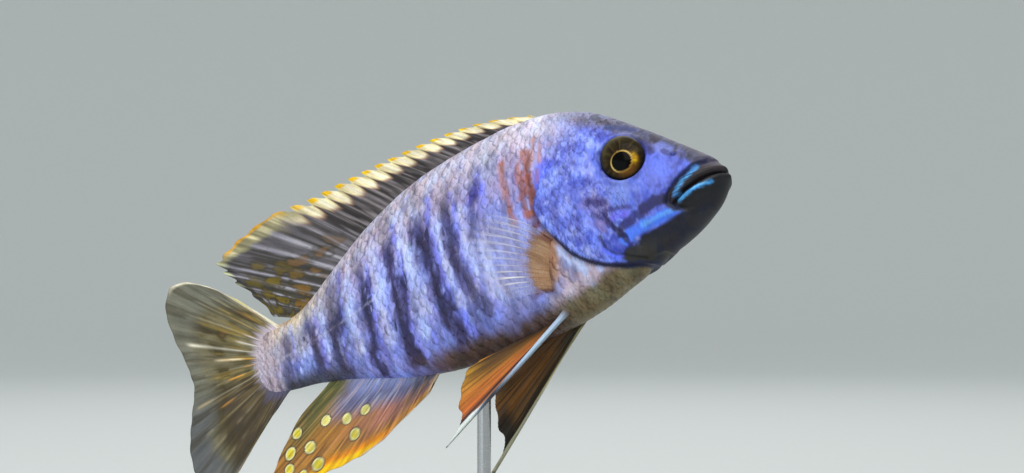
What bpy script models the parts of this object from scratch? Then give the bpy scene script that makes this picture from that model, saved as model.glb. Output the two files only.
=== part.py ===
"""A life-size museum model of a peacock cichlid, swimming above a small display stand.

The fish is modelled level, with the tip of its snout at the origin and its nose towards +X. Its places are given as
(station, side, height): how far behind the snout, how far to the left and how far up, each as a share of the
standard length, which runs from the snout to the root of the tail fin. An empty then lifts, tilts and banks it.
"""

import math

import bmesh
import bpy
import numpy as np
from mathutils import Matrix, Vector

# Driving sizes, in metres and radians.
STANDARD_LENGTH = 0.104
GAP = 0.0003
NOSE_UP = math.radians(21.0)
BANK = math.radians(14.05)
SNOUT_PLACE = (0.044, 0.0, 0.088)

# The body seen from the side and from above, as (station, height) and (station, half width).
BACK_LINE = (
    (0.0, 0.000), (0.023, 0.023), (0.079, 0.074), (0.145, 0.134), (0.212, 0.190), (0.289, 0.226), (0.37, 0.239),
    (0.50, 0.235), (0.62, 0.215), (0.72, 0.178), (0.80, 0.134), (0.86, 0.095), (0.92, 0.066), (0.97, 0.060),
    (1.02, 0.053),
)
BELLY_LINE = (
    (0.0, -0.032), (0.02, -0.050), (0.074, -0.084), (0.15, -0.113), (0.237, -0.141), (0.311, -0.162),
    (0.40, -0.172), (0.52, -0.171), (0.633, -0.160), (0.74, -0.134), (0.82, -0.107), (0.90, -0.085),
    (0.95, -0.078), (1.02, -0.068),
)
HALF_WIDTH = (
    (0.0, 0.012), (0.012, 0.025), (0.04, 0.038), (0.10, 0.054), (0.16, 0.070), (0.24, 0.083), (0.32, 0.088),
    (0.42, 0.087), (0.54, 0.078), (0.66, 0.061), (0.78, 0.043), (0.88, 0.029), (0.96, 0.019), (1.02, 0.010),
)
WIDEST_LEVEL = (
    (0.0, -0.018), (0.10, -0.008), (0.20, 0.020), (0.35, 0.030), (0.50, 0.025), (0.70, 0.012), (1.02, -0.007),
)
BACK_POINT = 1.14  # over 1 draws the back to a ridge
BELLY_POINT = 0.94  # under 1 fills the belly out
FIRST_STATION = 0.004
LAST_STATION = 1.015
STATIONS = 34
STATION_CROWDING = 1.25
RING_POINTS = 32

# Cutting outlines reach this far past the body, in front, above, below and to both sides.
FRONT_REACH = -0.08
TOP_REACH = 0.30
SIDE_REACH = 0.30
REAR_REACH = 1.20

# The gill covers stand proud of the flank behind them.
GILL_LIFT = 0.0075
GILL_LIFT_FROM = 0.20
GILL_LIFT_TO = 0.29
GILL_LIFT_TOP = 0.13
GILL_LIFT_FADE = 0.06
GILL_PLATE = 0.0022
GILL_INNER_SIDE = 0.012
FRONT_OUTLINE = (
    (FRONT_REACH, TOP_REACH), (0.300, TOP_REACH), (0.300, 0.125), (0.322, 0.072), (0.343, 0.030),
    (0.333, -0.007), (0.315, -0.040), (0.298, -0.070), (0.275, -0.092), (0.250, -0.106), (0.220, -0.116),
    (0.188, -0.120), (0.168, -0.124), (0.160, -0.200), (FRONT_REACH, -0.200),
)
GILL_OUTLINE = (
    (0.262, 0.072), (0.250, 0.050), (0.245, 0.020), (0.243, -0.015), (0.238, -0.053), (0.227, -0.084),
    (0.207, -0.102), (0.186, -0.112), (0.180, -0.122), (0.180, -0.200), (0.420, -0.200), (0.420, 0.080),
    (0.290, 0.080),
)

# The mouth: its line from the front to the corner, and the lips that follow it.
JAW_OUTLINE = (
    (-0.040, -0.008), (0.000, -0.012), (0.050, -0.023), (0.078, -0.032), (0.096, -0.045), (0.118, -0.066),
    (0.145, -0.093), (0.160, -0.120), (0.166, -0.200), (-0.040, -0.200),
)
MOUTH_FRONT = (0.018, -0.013)
MOUTH_CORNER = (0.096, -0.043)
MOUTH_HALF_WIDTH = 0.046
LIP_RADIUS = 0.0125
LIP_CORNER_RADIUS = 0.0055
LIP_DROP = 0.85  # how far each lip's middle lies from the mouth's line, as a share of its radius
LIP_TAPER = 1.5
LIP_STEPS = 22
LIP_SIDES_RESOLUTION = 2

# Eyes and nostrils.
EYE_PLACE = (0.169, 0.0555, 0.067)
EYE_RADIUS = 0.042
EYE_HALF_DEPTH = 0.022
EYE_TURN_FORWARD = math.radians(7)
EYE_TURN_UP = math.radians(13)
EYE_SEGMENTS = 22
SOCKET_GAP = 0.00035  # a little over the gap, for the flats between the socket's corners
NOSTRIL_PLACE = (0.082, 0.044)
NOSTRIL_RADIUS = 0.0006
NOSTRIL_SEGMENTS = 10

# The body is parted in front of the tail stalk here.
STALK_FRONT = 0.80

# Fin thicknesses, in metres.
FIN_ROOT_THICK = 0.0017
FIN_RAY_THICK = 0.0010
FIN_WEB_THICK = 0.0006
FIN_TIP_SHARE = 0.55
FIN_ROOT_BLEND = 0.32
FIN_NOTCH_POWER = 3
FIN_SINK = 0.012
FIN_ROWS = 7

# Dorsal fin: 17 spines, then 9 soft rays that sweep back to a long tip.
DORSAL_RAYS = 26
DORSAL_ROOT_STATIONS = ((0.0, 0.318), (0.64, 0.750), (1.0, 0.915))
DORSAL_TIPS = (
    (0.0, (0.350, 0.0, 0.245)), (0.08, (0.430, 0.0, 0.268)), (0.20, (0.527, 0.0, 0.281)),
    (0.36, (0.655, 0.0, 0.283)), (0.52, (0.780, 0.0, 0.279)), (0.62, (0.865, 0.001, 0.276)),
    (0.68, (0.930, 0.002, 0.280)), (0.74, (1.005, 0.005, 0.267)), (0.80, (1.062, 0.008, 0.248)),
    (0.84, (1.085, 0.009, 0.236)), (0.88, (1.072, 0.008, 0.211)), (0.92, (1.045, 0.006, 0.177)),
    (0.96, (1.008, 0.003, 0.134)), (1.0, (0.972, 0.001, 0.080)),
)
DORSAL_NOTCH = 0.07

# Anal fin: 3 spines and 9 soft rays.
ANAL_RAYS = 12
ANAL_ROOT_STATIONS = ((0.0, 0.636), (1.0, 0.862))
ANAL_TIPS = (
    (0.0, (0.672, 0.0, -0.184)), (0.10, (0.730, 0.0, -0.210)), (0.20, (0.795, -0.002, -0.239)),
    (0.36, (0.880, -0.004, -0.254)), (0.50, (0.965, -0.007, -0.259)), (0.66, (1.060, -0.010, -0.258)),
    (0.75, (1.035, -0.008, -0.225)), (0.85, (0.992, -0.005, -0.174)), (0.93, (0.945, -0.002, -0.128)),
    (1.0, (0.897, 0.0, -0.103)),
)
ANAL_NOTCH = 0.04

# Tail fin, spread and a little hollow behind.
TAIL_RAYS = 18
TAIL_ROOT = ((0.0, (0.955, 0.0, 0.050)), (0.5, (1.002, 0.0, -0.006)), (1.0, (0.955, 0.0, -0.066)))
TAIL_TIPS = (
    (0.0, (1.050, 0.003, 0.146)), (0.06, (1.105, 0.004, 0.192)), (0.12, (1.160, 0.004, 0.224)),
    (0.18, (1.200, 0.004, 0.226)), (0.24, (1.215, 0.002, 0.192)), (0.32, (1.209, 0.000, 0.134)),
    (0.42, (1.185, -0.002, 0.058)), (0.52, (1.177, -0.003, 0.000)), (0.62, (1.196, -0.002, -0.056)),
    (0.72, (1.212, 0.001, -0.120)), (0.80, (1.204, 0.003, -0.182)), (0.87, (1.180, 0.005, -0.236)),
    (0.93, (1.122, 0.004, -0.194)), (1.0, (1.062, 0.003, -0.140)),
)
TAIL_NOTCH = 0.015

# Paired fins of the left side, and the right ones are their mirror images, but for how they are held.
PELVIC_RAYS = 6
PELVIC_ROOT = ((0.0, (0.343, 0.034, -0.148)), (1.0, (0.396, 0.014, -0.158)))
PELVIC_TIPS = (
    (0.0, (0.610, 0.090, -0.325)), (0.2, (0.574, 0.084, -0.289)), (0.4, (0.576, 0.077, -0.259)),
    (0.6, (0.568, 0.067, -0.223)), (0.8, (0.556, 0.054, -0.192)), (1.0, (0.530, 0.040, -0.178)),
)
PELVIC_NOTCH = 0.06
PELVIC_STRETCH = {"left": 1.07, "right": 1.0}
PECTORAL_RAYS = 14
PECTORAL_ROOT = ((0.0, (0.330, 0.068, -0.034)), (0.5, (0.352, 0.066, -0.078)), (1.0, (0.362, 0.058, -0.116)))
PECTORAL_TIPS = (
    (0.0, (0.372, 0.235, -0.002)), (0.2, (0.398, 0.270, -0.030)), (0.4, (0.413, 0.283, -0.070)),
    (0.6, (0.413, 0.279, -0.112)), (0.8, (0.403, 0.255, -0.146)), (1.0, (0.386, 0.215, -0.160)),
)
PECTORAL_NOTCH = 0.03
PECTORAL_BOW = 0.018  # how far the middle of each ray bends forward
PECTORAL_FOLD = {"left": math.radians(32), "right": 0.0}

# Stand, in metres.
BASE_SIZE = (0.096, 0.056, 0.008)
BASE_CORNER = 0.012
BASE_EDGE = 0.0016
ROD_RADIUS = 0.0013
ROD_PLACE = (-0.0032, -0.0043)
ROD_TOP = 0.064
ROD_FOOT_RADIUS = 0.0050
ROD_FOOT_HEIGHT = 0.0018
ROD_FOOT_EDGE = 0.0004
ROD_FILLET = 0.0012
ROD_SIDES = 20

# Colours as linear red, green and blue, with roughness and metallic shares.
FINISHES = {
    "head": ((0.10, 0.13, 0.55), 0.40, 0.0),
    "flank": ((0.26, 0.25, 0.50), 0.42, 0.0),
    "fin_dark": ((0.12, 0.10, 0.08), 0.45, 0.0),
    "fin_orange": ((0.50, 0.17, 0.03), 0.45, 0.0),
    "fin_clear": ((0.48, 0.48, 0.52), 0.35, 0.0),
    "eye": ((0.10, 0.07, 0.02), 0.12, 0.0),
    "stand": ((0.020, 0.020, 0.022), 0.35, 0.0),
    "steel": ((0.55, 0.55, 0.56), 0.30, 1.0),
}


def clear_scene():
    for obj in list(bpy.data.objects):
        bpy.data.objects.remove(obj)


def smooth_curve(keys, x):
    """The value at x of a smooth curve through keys, each a (position, value) pair, held level past both ends."""
    at = np.array([key[0] for key in keys], float)
    values = np.array([key[1] for key in keys], float)
    slopes = np.gradient(values, at, axis=0)
    x = min(max(x, at[0]), at[-1])
    i = min(int(np.searchsorted(at, x, side="right")) - 1, len(at) - 2)
    step = at[i + 1] - at[i]
    t = (x - at[i]) / step
    start = (1 + 2 * t) * (1 - t) ** 2 * values[i] + t * (1 - t) ** 2 * step * slopes[i]
    return start + t * t * (3 - 2 * t) * values[i + 1] + t * t * (t - 1) * step * slopes[i + 1]


def ease(x, low, high):
    """0 below low, 1 above high, and smooth between."""
    t = min(max((x - low) / (high - low), 0.0), 1.0)
    return t * t * (3 - 2 * t)


def place(station, side, height):
    """A point of the fish in its own level frame, in metres."""
    return Vector((-station, side, height)) * STANDARD_LENGTH


def skin_point(station, turn, gill_lift):
    """The point of the skin at a station, turned round the body from the left flank towards the back."""
    level = float(smooth_curve(WIDEST_LEVEL, station))
    width = float(smooth_curve(HALF_WIDTH, station))
    upper = math.sin(turn) >= 0
    edge = float(smooth_curve(BACK_LINE if upper else BELLY_LINE, station))
    power = BACK_POINT if upper else BELLY_POINT
    side = width * math.copysign(abs(math.cos(turn)) ** power, math.cos(turn))
    height = level + (edge - level) * abs(math.sin(turn)) ** power
    lift = gill_lift * ease(station, GILL_LIFT_FROM, GILL_LIFT_TO) * abs(math.cos(turn))
    lift *= 1 - ease(height, GILL_LIFT_TOP - GILL_LIFT_FADE, GILL_LIFT_TOP)
    return place(station, side + math.copysign(lift, side), height)


def skin_side(station, height):
    """Half the width of the body at a station and height."""
    level = float(smooth_curve(WIDEST_LEVEL, station))
    upper = height >= level
    edge = float(smooth_curve(BACK_LINE if upper else BELLY_LINE, station))
    power = BACK_POINT if upper else BELLY_POINT
    turn = math.asin(min(1.0, (height - level) / (edge - level)) ** (1 / power))
    return float(smooth_curve(HALF_WIDTH, station)) * math.cos(turn) ** power


def new_object(name, mesh):
    obj = bpy.data.objects.new(name, mesh)
    bpy.context.scene.collection.objects.link(obj)
    return obj


def object_from(name, bm):
    """A new object that takes over a bmesh."""
    mesh = bpy.data.meshes.new(name)
    bm.to_mesh(mesh)
    bm.free()
    return new_object(name, mesh)


def body_loft(name, gill_lift=0.0, swell=0.0):
    """The whole body as one closed loft, its skin moved outwards by swell metres."""
    bm = bmesh.new()
    rings = []
    for i in range(STATIONS + 1):
        share = (i / STATIONS) ** STATION_CROWDING
        station = FIRST_STATION + (LAST_STATION - FIRST_STATION) * share
        turns = [2 * math.pi * k / RING_POINTS for k in range(RING_POINTS)]
        rings.append([bm.verts.new(skin_point(station, turn, gill_lift)) for turn in turns])
    for front, rear in zip(rings, rings[1:]):
        for k in range(RING_POINTS):
            n = (k + 1) % RING_POINTS
            bm.faces.new((front[k], front[n], rear[n]))
            bm.faces.new((front[k], rear[n], rear[k]))
    for ring in (rings[0], rings[-1]):
        bm.faces.new(ring)
    bmesh.ops.poke(bm, faces=[face for face in bm.faces if len(face.verts) > 3])
    bmesh.ops.recalc_face_normals(bm, faces=bm.faces)
    bm.normal_update()
    shifts = [vert.normal * swell for vert in bm.verts]
    for vert, shift in zip(bm.verts, shifts):
        vert.co += shift
    return object_from(name, bm)


def widened(outline, distance):
    """A closed outline of (station, height) points, moved outwards by a distance."""
    points = [Vector(point) for point in outline]
    turning = sum(a.x * b.y - b.x * a.y for a, b in zip(points, points[1:] + points[:1]))
    sign = math.copysign(1.0, turning)
    moved = []
    for before, point, after in zip(points[-1:] + points[:-1], points, points[1:] + points[:1]):
        first = (point - before).normalized()
        second = (after - point).normalized()
        outward = Vector((first.y + second.y, -first.x - second.x)).normalized() * sign
        cosine = max(0.4, outward.dot(Vector((first.y, -first.x)) * sign))
        moved.append(point + outward * (distance / cosine))
    return [tuple(point) for point in moved]


def side_prism(name, outline, side_from, side_to):
    """A solid whose outline is seen from the side, reaching from one side place to another."""
    bm = bmesh.new()
    base = [bm.verts.new(place(station, side_from, height)) for station, height in outline]
    face = bm.faces.new(base)
    grown = bmesh.ops.extrude_face_region(bm, geom=[face])
    moved = [item for item in grown["geom"] if isinstance(item, bmesh.types.BMVert)]
    bmesh.ops.translate(bm, vec=place(0, side_to - side_from, 0), verts=moved)
    bmesh.ops.recalc_face_normals(bm, faces=bm.faces)
    bmesh.ops.triangulate(bm, faces=bm.faces)
    return object_from(name, bm)


def ellipsoid(name, centre, radii, turn_forward=0.0, turn_up=0.0, segments=EYE_SEGMENTS):
    """A flattened ball whose short axis looks sideways, turned forwards and up. Its poles lie on that axis."""
    bm = bmesh.new()
    bmesh.ops.create_uvsphere(bm, u_segments=segments, v_segments=segments // 2, radius=1.0)
    obj = object_from(name, bm)
    obj.data.transform(ball_matrix(centre, radii, turn_forward, turn_up))
    return obj


def ball_matrix(centre, radii, turn_forward, turn_up):
    """The transform of a unit ball into a flattened one that looks sideways."""
    out = math.copysign(1.0, centre.y)
    looks = Vector((math.sin(turn_forward), out * math.cos(turn_forward) * math.cos(turn_up), math.sin(turn_up)))
    basis = looks.normalized().to_track_quat("Z", "Y").to_matrix().to_4x4()
    return Matrix.Translation(centre) @ basis @ Matrix.Diagonal((*radii, 1.0))


def largest_shell(mesh):
    """Keeps only the largest closed surface of a mesh."""
    bm = bmesh.new()
    bm.from_mesh(mesh)
    left = set(bm.faces)
    shells = []
    while left:
        todo = [left.pop()]
        shell = []
        while todo:
            face = todo.pop()
            shell.append(face)
            for near in {other for edge in face.edges for other in edge.link_faces} & left:
                left.discard(near)
                todo.append(near)
        shells.append(shell)
    shells.sort(key=lambda faces: sum(face.calc_area() for face in faces))
    for shell in shells[:-1]:
        bmesh.ops.delete(bm, geom=shell, context="FACES")
    bmesh.ops.triangulate(bm, faces=bm.faces)
    bm.to_mesh(mesh)
    bm.free()


def settle(obj):
    """Applies an object's modifiers and keeps its largest closed surface."""
    graph = bpy.context.evaluated_depsgraph_get()
    mesh = bpy.data.meshes.new_from_object(obj.evaluated_get(graph))
    obj.modifiers.clear()
    obj.data = mesh
    largest_shell(mesh)
    return obj


def combine(obj, others, operation, solver="EXACT"):
    """Applies one Boolean of an object with several others, which are left as they are."""
    tools = bpy.data.collections.new("tools")
    for other in others:
        tools.objects.link(other)
    boolean = obj.modifiers.new(operation, "BOOLEAN")
    boolean.operand_type = "COLLECTION"
    boolean.collection = tools
    boolean.operation = operation
    boolean.solver = solver
    settle(obj)
    bpy.data.collections.remove(tools)
    return obj


def copy_of(obj, name):
    return new_object(name, obj.data.copy())


def remove(objects):
    for obj in objects:
        bpy.data.objects.remove(obj)


def lip(name, drop):
    """A lip along the mouth's line, thick in front and thin at the corners. A drop under 0 is the upper lip."""
    path = bpy.data.curves.new(name, "CURVE")
    path.dimensions = "3D"
    path.bevel_depth = STANDARD_LENGTH
    path.bevel_resolution = LIP_SIDES_RESOLUTION
    path.use_fill_caps = True
    spline = path.splines.new("POLY")
    spline.points.add(LIP_STEPS)
    reach = MOUTH_CORNER[0] - MOUTH_FRONT[0]
    for i, point in enumerate(spline.points):
        turn = math.pi * (i / LIP_STEPS - 0.5)
        share = 1 - math.cos(turn)
        radius = LIP_RADIUS + (LIP_CORNER_RADIUS - LIP_RADIUS) * share**LIP_TAPER
        station = MOUTH_FRONT[0] + reach * share
        line = MOUTH_FRONT[1] + (MOUTH_CORNER[1] - MOUTH_FRONT[1]) * share
        point.co = (*place(station, MOUTH_HALF_WIDTH * math.sin(turn), line - drop * radius), 1.0)
        point.radius = radius
    tube = new_object(name, path)
    graph = bpy.context.evaluated_depsgraph_get()
    mesh = bpy.data.meshes.new_from_object(tube.evaluated_get(graph))
    bpy.data.objects.remove(tube)
    bm = bmesh.new()
    bm.from_mesh(mesh)
    bmesh.ops.remove_doubles(bm, verts=bm.verts, dist=GAP / 10)
    bmesh.ops.recalc_face_normals(bm, faces=bm.faces)
    return object_from(name, bm)


def split_head(parts, core):
    """The head with its upper lip, the lower jaw, the gill covers and the eyes, parted by thin cuts."""
    block = body_loft("head", gill_lift=GILL_LIFT)
    lips = [lip("upper_lip", -LIP_DROP), lip("lower_lip", LIP_DROP)]
    combine(block, lips, "UNION")
    front_prism = side_prism("front", FRONT_OUTLINE, -SIDE_REACH, SIDE_REACH)
    combine(block, [front_prism], "INTERSECT")

    jaw = copy_of(block, "lower_jaw")
    jaw_prism = side_prism("jaw_prism", JAW_OUTLINE, -SIDE_REACH, SIDE_REACH)
    jaw_room = side_prism("jaw_room", widened(JAW_OUTLINE, GAP / STANDARD_LENGTH), -SIDE_REACH, SIDE_REACH)
    combine(jaw, [jaw_prism], "INTERSECT")
    combine(block, [jaw_room], "DIFFERENCE")
    remove([*lips, front_prism, jaw_prism, jaw_room])
    parts["lower_jaw"] = (jaw, "head")

    inner = body_loft("inner", swell=-GILL_PLATE - GAP)
    for side, sign in (("left", 1), ("right", -1)):
        outer = SIDE_REACH * sign
        prism = side_prism("gill_prism", GILL_OUTLINE, GILL_INNER_SIDE * sign, outer)
        room_outline = widened(GILL_OUTLINE, GAP / STANDARD_LENGTH)
        near_middle = (GILL_INNER_SIDE - GAP / STANDARD_LENGTH) * sign
        room = side_prism("gill_room", room_outline, near_middle, outer)
        cover = copy_of(block, f"gill_cover_{side}")
        combine(cover, [prism], "INTERSECT")
        combine(cover, [core], "DIFFERENCE")
        combine(room, [inner], "DIFFERENCE")
        combine(block, [room], "DIFFERENCE")
        remove([prism, room])
        parts[cover.name] = (cover, "head")
    remove([inner])

    for side, sign in (("left", 1), ("right", -1)):
        centre = place(EYE_PLACE[0], EYE_PLACE[1] * sign, EYE_PLACE[2])
        radii = Vector((EYE_RADIUS, EYE_RADIUS, EYE_HALF_DEPTH)) * STANDARD_LENGTH
        eye = ellipsoid(f"eye_{side}", centre, radii, EYE_TURN_FORWARD, EYE_TURN_UP)
        room_radii = radii + Vector([SOCKET_GAP] * 3)
        socket = ellipsoid("socket", centre, room_radii, EYE_TURN_FORWARD, EYE_TURN_UP)
        station, height = NOSTRIL_PLACE
        rim = place(station, sign * skin_side(station, height), height)
        nostril = ellipsoid("nostril", rim, [NOSTRIL_RADIUS] * 3, segments=NOSTRIL_SEGMENTS)
        combine(block, [socket, nostril], "DIFFERENCE")
        remove([socket, nostril])
        parts[eye.name] = (eye, "eye")
    parts["head"] = (block, "head")


def split_trunk(parts):
    """The torso and the tail stalk, behind the gill covers."""
    trunk = body_loft("torso")
    shift = GAP / STANDARD_LENGTH
    rear = [
        (STALK_FRONT, TOP_REACH), (STALK_FRONT, -TOP_REACH), (REAR_REACH, -TOP_REACH), (REAR_REACH, TOP_REACH),
    ]
    front_prism = side_prism("front", widened(FRONT_OUTLINE, shift), -SIDE_REACH, SIDE_REACH)
    stalk_prism = side_prism("rear", rear, -SIDE_REACH, SIDE_REACH)
    stalk_room = side_prism("rear_room", widened(rear, shift), -SIDE_REACH, SIDE_REACH)
    combine(trunk, [front_prism], "DIFFERENCE")
    stalk = copy_of(trunk, "tail_stalk")
    combine(stalk, [stalk_prism], "INTERSECT")
    combine(trunk, [stalk_room], "DIFFERENCE")
    remove([front_prism, stalk_prism, stalk_room])
    parts["torso"] = (trunk, "flank")
    parts["tail_stalk"] = (stalk, "flank")


def fin(name, rays, root, tips, notch, skin, side=1, bow=0.0, stretch=1.0, fold=0.0):
    """One fin: a thin web with its rays raised on both faces, its root trimmed to the skin.

    root and tips give the ends of the ray at each share of the way along the fin. notch is how far the web draws back
    between two ray tips, bow how far forward the middle of a ray bends, stretch what the rays' length is multiplied
    by, and fold the angle by which the fin swings back towards the body.
    """
    swing = Matrix.Rotation(-fold, 3, "Z") * stretch
    bm = bmesh.new()
    columns = 2 * (rays - 1)
    bmesh.ops.create_grid(bm, x_segments=columns, y_segments=FIN_ROWS, size=1.0)
    weights = {}
    for vert in bm.verts:
        along, out = (vert.co.x + 1) / 2, (vert.co.y + 1) / 2
        on_ray = round(along * columns) % 2 == 0
        reach = out if on_ray else out * (1 - notch * out**FIN_NOTCH_POWER)
        start, end = Vector(root(along)), Vector(smooth_curve(tips, along))
        point = start + swing @ (end - start) * reach
        point.x -= bow * math.sin(math.pi * reach)
        vert.co = place(point.x, side * point.y, point.z)
        thick = (FIN_RAY_THICK if on_ray else FIN_WEB_THICK) * (1 - (1 - FIN_TIP_SHARE) * out)
        weights[vert.index] = thick + (FIN_ROOT_THICK - thick) * (1 - ease(out, 0, FIN_ROOT_BLEND))
    bmesh.ops.triangulate(bm, faces=bm.faces, quad_method="FIXED")
    obj = object_from(name, bm)
    group = obj.vertex_groups.new(name="thickness")
    for index, thick in weights.items():
        group.add([index], thick / FIN_ROOT_THICK, "REPLACE")
    solid = obj.modifiers.new("thickness", "SOLIDIFY")
    solid.thickness = FIN_ROOT_THICK
    solid.offset = 0.0
    solid.vertex_group = group.name
    settle(obj)
    return combine(obj, [skin], "DIFFERENCE")


def line_root(stations, line, rise):
    """A fin root that follows the back or belly line, sunk by rise."""
    def root(along):
        station = float(smooth_curve(stations, along))
        return (station, 0.0, float(smooth_curve(line, station)) + rise)
    return root


def point_root(points):
    """A fin root through a few places."""
    return lambda along: tuple(smooth_curve(points, along))


def build_fins(parts, skin):
    dorsal_root = line_root(DORSAL_ROOT_STATIONS, BACK_LINE, -FIN_SINK)
    anal_root = line_root(ANAL_ROOT_STATIONS, BELLY_LINE, FIN_SINK)
    dorsal = fin("dorsal_fin", DORSAL_RAYS, dorsal_root, DORSAL_TIPS, DORSAL_NOTCH, skin)
    anal = fin("anal_fin", ANAL_RAYS, anal_root, ANAL_TIPS, ANAL_NOTCH, skin)
    tail = fin("tail_fin", TAIL_RAYS, point_root(TAIL_ROOT), TAIL_TIPS, TAIL_NOTCH, skin)
    parts["dorsal_fin"] = (dorsal, "fin_dark")
    parts["anal_fin"] = (anal, "fin_orange")
    parts["tail_fin"] = (tail, "fin_dark")
    for side, sign in (("left", 1), ("right", -1)):
        name = f"pelvic_fin_{side}"
        pelvic = fin(
            name, PELVIC_RAYS, point_root(PELVIC_ROOT), PELVIC_TIPS, PELVIC_NOTCH, skin,
            side=sign, stretch=PELVIC_STRETCH[side],
        )
        parts[name] = (pelvic, "fin_orange")
        name = f"pectoral_fin_{side}"
        pectoral = fin(
            name, PECTORAL_RAYS, point_root(PECTORAL_ROOT), PECTORAL_TIPS, PECTORAL_NOTCH, skin,
            side=sign, bow=PECTORAL_BOW, fold=PECTORAL_FOLD[side],
        )
        parts[name] = (pectoral, "fin_clear")


def stand_base():
    """A plain plinth with rounded corners and eased edges."""
    bpy.ops.mesh.primitive_cube_add(size=1.0, location=(0, 0, BASE_SIZE[2] / 2))
    base = bpy.context.object
    base.name = base.data.name = "stand_base"
    base.data.transform(Matrix.Diagonal((*BASE_SIZE, 1.0)))
    bm = bmesh.new()
    bm.from_mesh(base.data)
    upright = [e for e in bm.edges if abs(e.verts[0].co.z - e.verts[1].co.z) > BASE_SIZE[2] / 2]
    bmesh.ops.bevel(bm, geom=upright, offset=BASE_CORNER, segments=6, profile=0.5, affect="EDGES")
    top = [e for e in bm.edges if min(v.co.z for v in e.verts) > BASE_SIZE[2] * 0.49]
    bmesh.ops.bevel(bm, geom=top, offset=BASE_EDGE, segments=3, profile=0.5, affect="EDGES")
    bm.to_mesh(base.data)
    bm.free()
    return base


def stand_rod(skin, pose):
    """A turned rod with a foot, standing on the plinth and trimmed to the belly above it."""
    bottom = BASE_SIZE[2] + GAP
    foot_top = bottom + ROD_FOOT_HEIGHT
    outline = (
        (0.0, ROD_TOP), (ROD_RADIUS, ROD_TOP), (ROD_RADIUS, foot_top + ROD_FILLET),
        (ROD_RADIUS + 0.3 * ROD_FILLET, foot_top + 0.3 * ROD_FILLET), (ROD_RADIUS + ROD_FILLET, foot_top),
        (ROD_FOOT_RADIUS - ROD_FOOT_EDGE, foot_top), (ROD_FOOT_RADIUS, foot_top - ROD_FOOT_EDGE),
        (ROD_FOOT_RADIUS, bottom), (0.0, bottom),
    )
    bm = bmesh.new()
    corners = [bm.verts.new((radius, 0, height)) for radius, height in outline]
    for first, second in zip(corners, corners[1:]):
        bm.edges.new((first, second))
    rod = object_from("stand_rod", bm)
    rod.location = (*ROD_PLACE, 0)
    turned = rod.modifiers.new("turned", "SCREW")
    turned.steps = turned.render_steps = ROD_SIDES
    turned.use_merge_vertices = True
    turned.merge_threshold = GAP / 10
    settle(rod)
    cutter = copy_of(skin, "belly")
    cutter.parent = pose
    bpy.context.view_layer.update()
    combine(rod, [cutter], "DIFFERENCE")
    remove([cutter])
    return rod


def finish_for(name):
    """A plain material of the finish's colour."""
    colour, roughness, metallic = FINISHES[name]
    made = bpy.data.materials.get(name) or bpy.data.materials.new(name)
    made.use_nodes = True
    shader = made.node_tree.nodes["Principled BSDF"]
    shader.inputs["Base Color"].default_value = (*colour, 1.0)
    shader.inputs["Roughness"].default_value = roughness
    shader.inputs["Metallic"].default_value = metallic
    made.diffuse_color = (*colour, 1.0)
    return made


def main():
    clear_scene()
    group = bpy.data.collections.new("peacock_cichlid")
    bpy.context.scene.collection.children.link(group)
    pose = bpy.data.objects.new("fish_pose", None)
    pose.location = SNOUT_PLACE
    pose.rotation_euler = (-BANK, -NOSE_UP, 0.0)
    group.objects.link(pose)

    parts = {}
    core = body_loft("core", swell=-GILL_PLATE)
    skin = body_loft("skin", swell=GAP)
    split_head(parts, core)
    split_trunk(parts)
    build_fins(parts, skin)
    rod = stand_rod(skin, pose)
    base = stand_base()
    remove([core, skin])

    for obj, _ in parts.values():
        obj.parent = pose
    parts["stand_rod"] = (rod, "steel")
    parts["stand_base"] = (base, "stand")
    for name, (obj, finish) in parts.items():
        obj.name = obj.data.name = name
        obj.data.materials.clear()
        obj.data.materials.append(finish_for(finish))
        obj.data.shade_smooth()
        for old in list(obj.users_collection):
            old.objects.unlink(obj)
        group.objects.link(obj)


main()
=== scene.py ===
"""The looks of the peacock cichlid: its skin, scales, fins, eyes and stand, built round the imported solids.

A place on the fish is (station, side, height): how far behind the snout, to the left and up, each as a share
of the standard length, with the fish level and its nose towards +X. Level millimetres are the same places in
millimetres, and FishPose turns them into metres on the stand.
"""

import logging
import math
from dataclasses import dataclass, field
from enum import Enum
from typing import Callable, Sequence

import bmesh
import bpy
import numpy as np
from mathutils import Euler, Matrix, Vector


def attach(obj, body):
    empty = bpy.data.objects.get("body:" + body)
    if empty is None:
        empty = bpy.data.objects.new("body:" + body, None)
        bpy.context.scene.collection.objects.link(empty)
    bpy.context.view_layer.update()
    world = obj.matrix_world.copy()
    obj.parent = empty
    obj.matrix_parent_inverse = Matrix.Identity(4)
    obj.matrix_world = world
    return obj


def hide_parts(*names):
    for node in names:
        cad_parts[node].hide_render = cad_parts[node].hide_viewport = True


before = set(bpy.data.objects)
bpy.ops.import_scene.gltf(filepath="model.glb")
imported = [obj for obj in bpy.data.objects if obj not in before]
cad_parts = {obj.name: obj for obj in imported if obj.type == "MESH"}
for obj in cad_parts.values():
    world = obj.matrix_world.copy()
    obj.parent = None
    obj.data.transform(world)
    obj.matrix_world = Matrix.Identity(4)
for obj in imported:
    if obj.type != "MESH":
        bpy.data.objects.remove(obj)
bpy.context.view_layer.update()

log = logging.getLogger("peacock_cichlid")

STANDARD_LENGTH = 0.104  # metres
MM = 0.001  # metres
PLACE_MM = STANDARD_LENGTH / MM  # millimetres in one standard length
PAINT = "paint"
BAKE_MAP = "OFBake"

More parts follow.
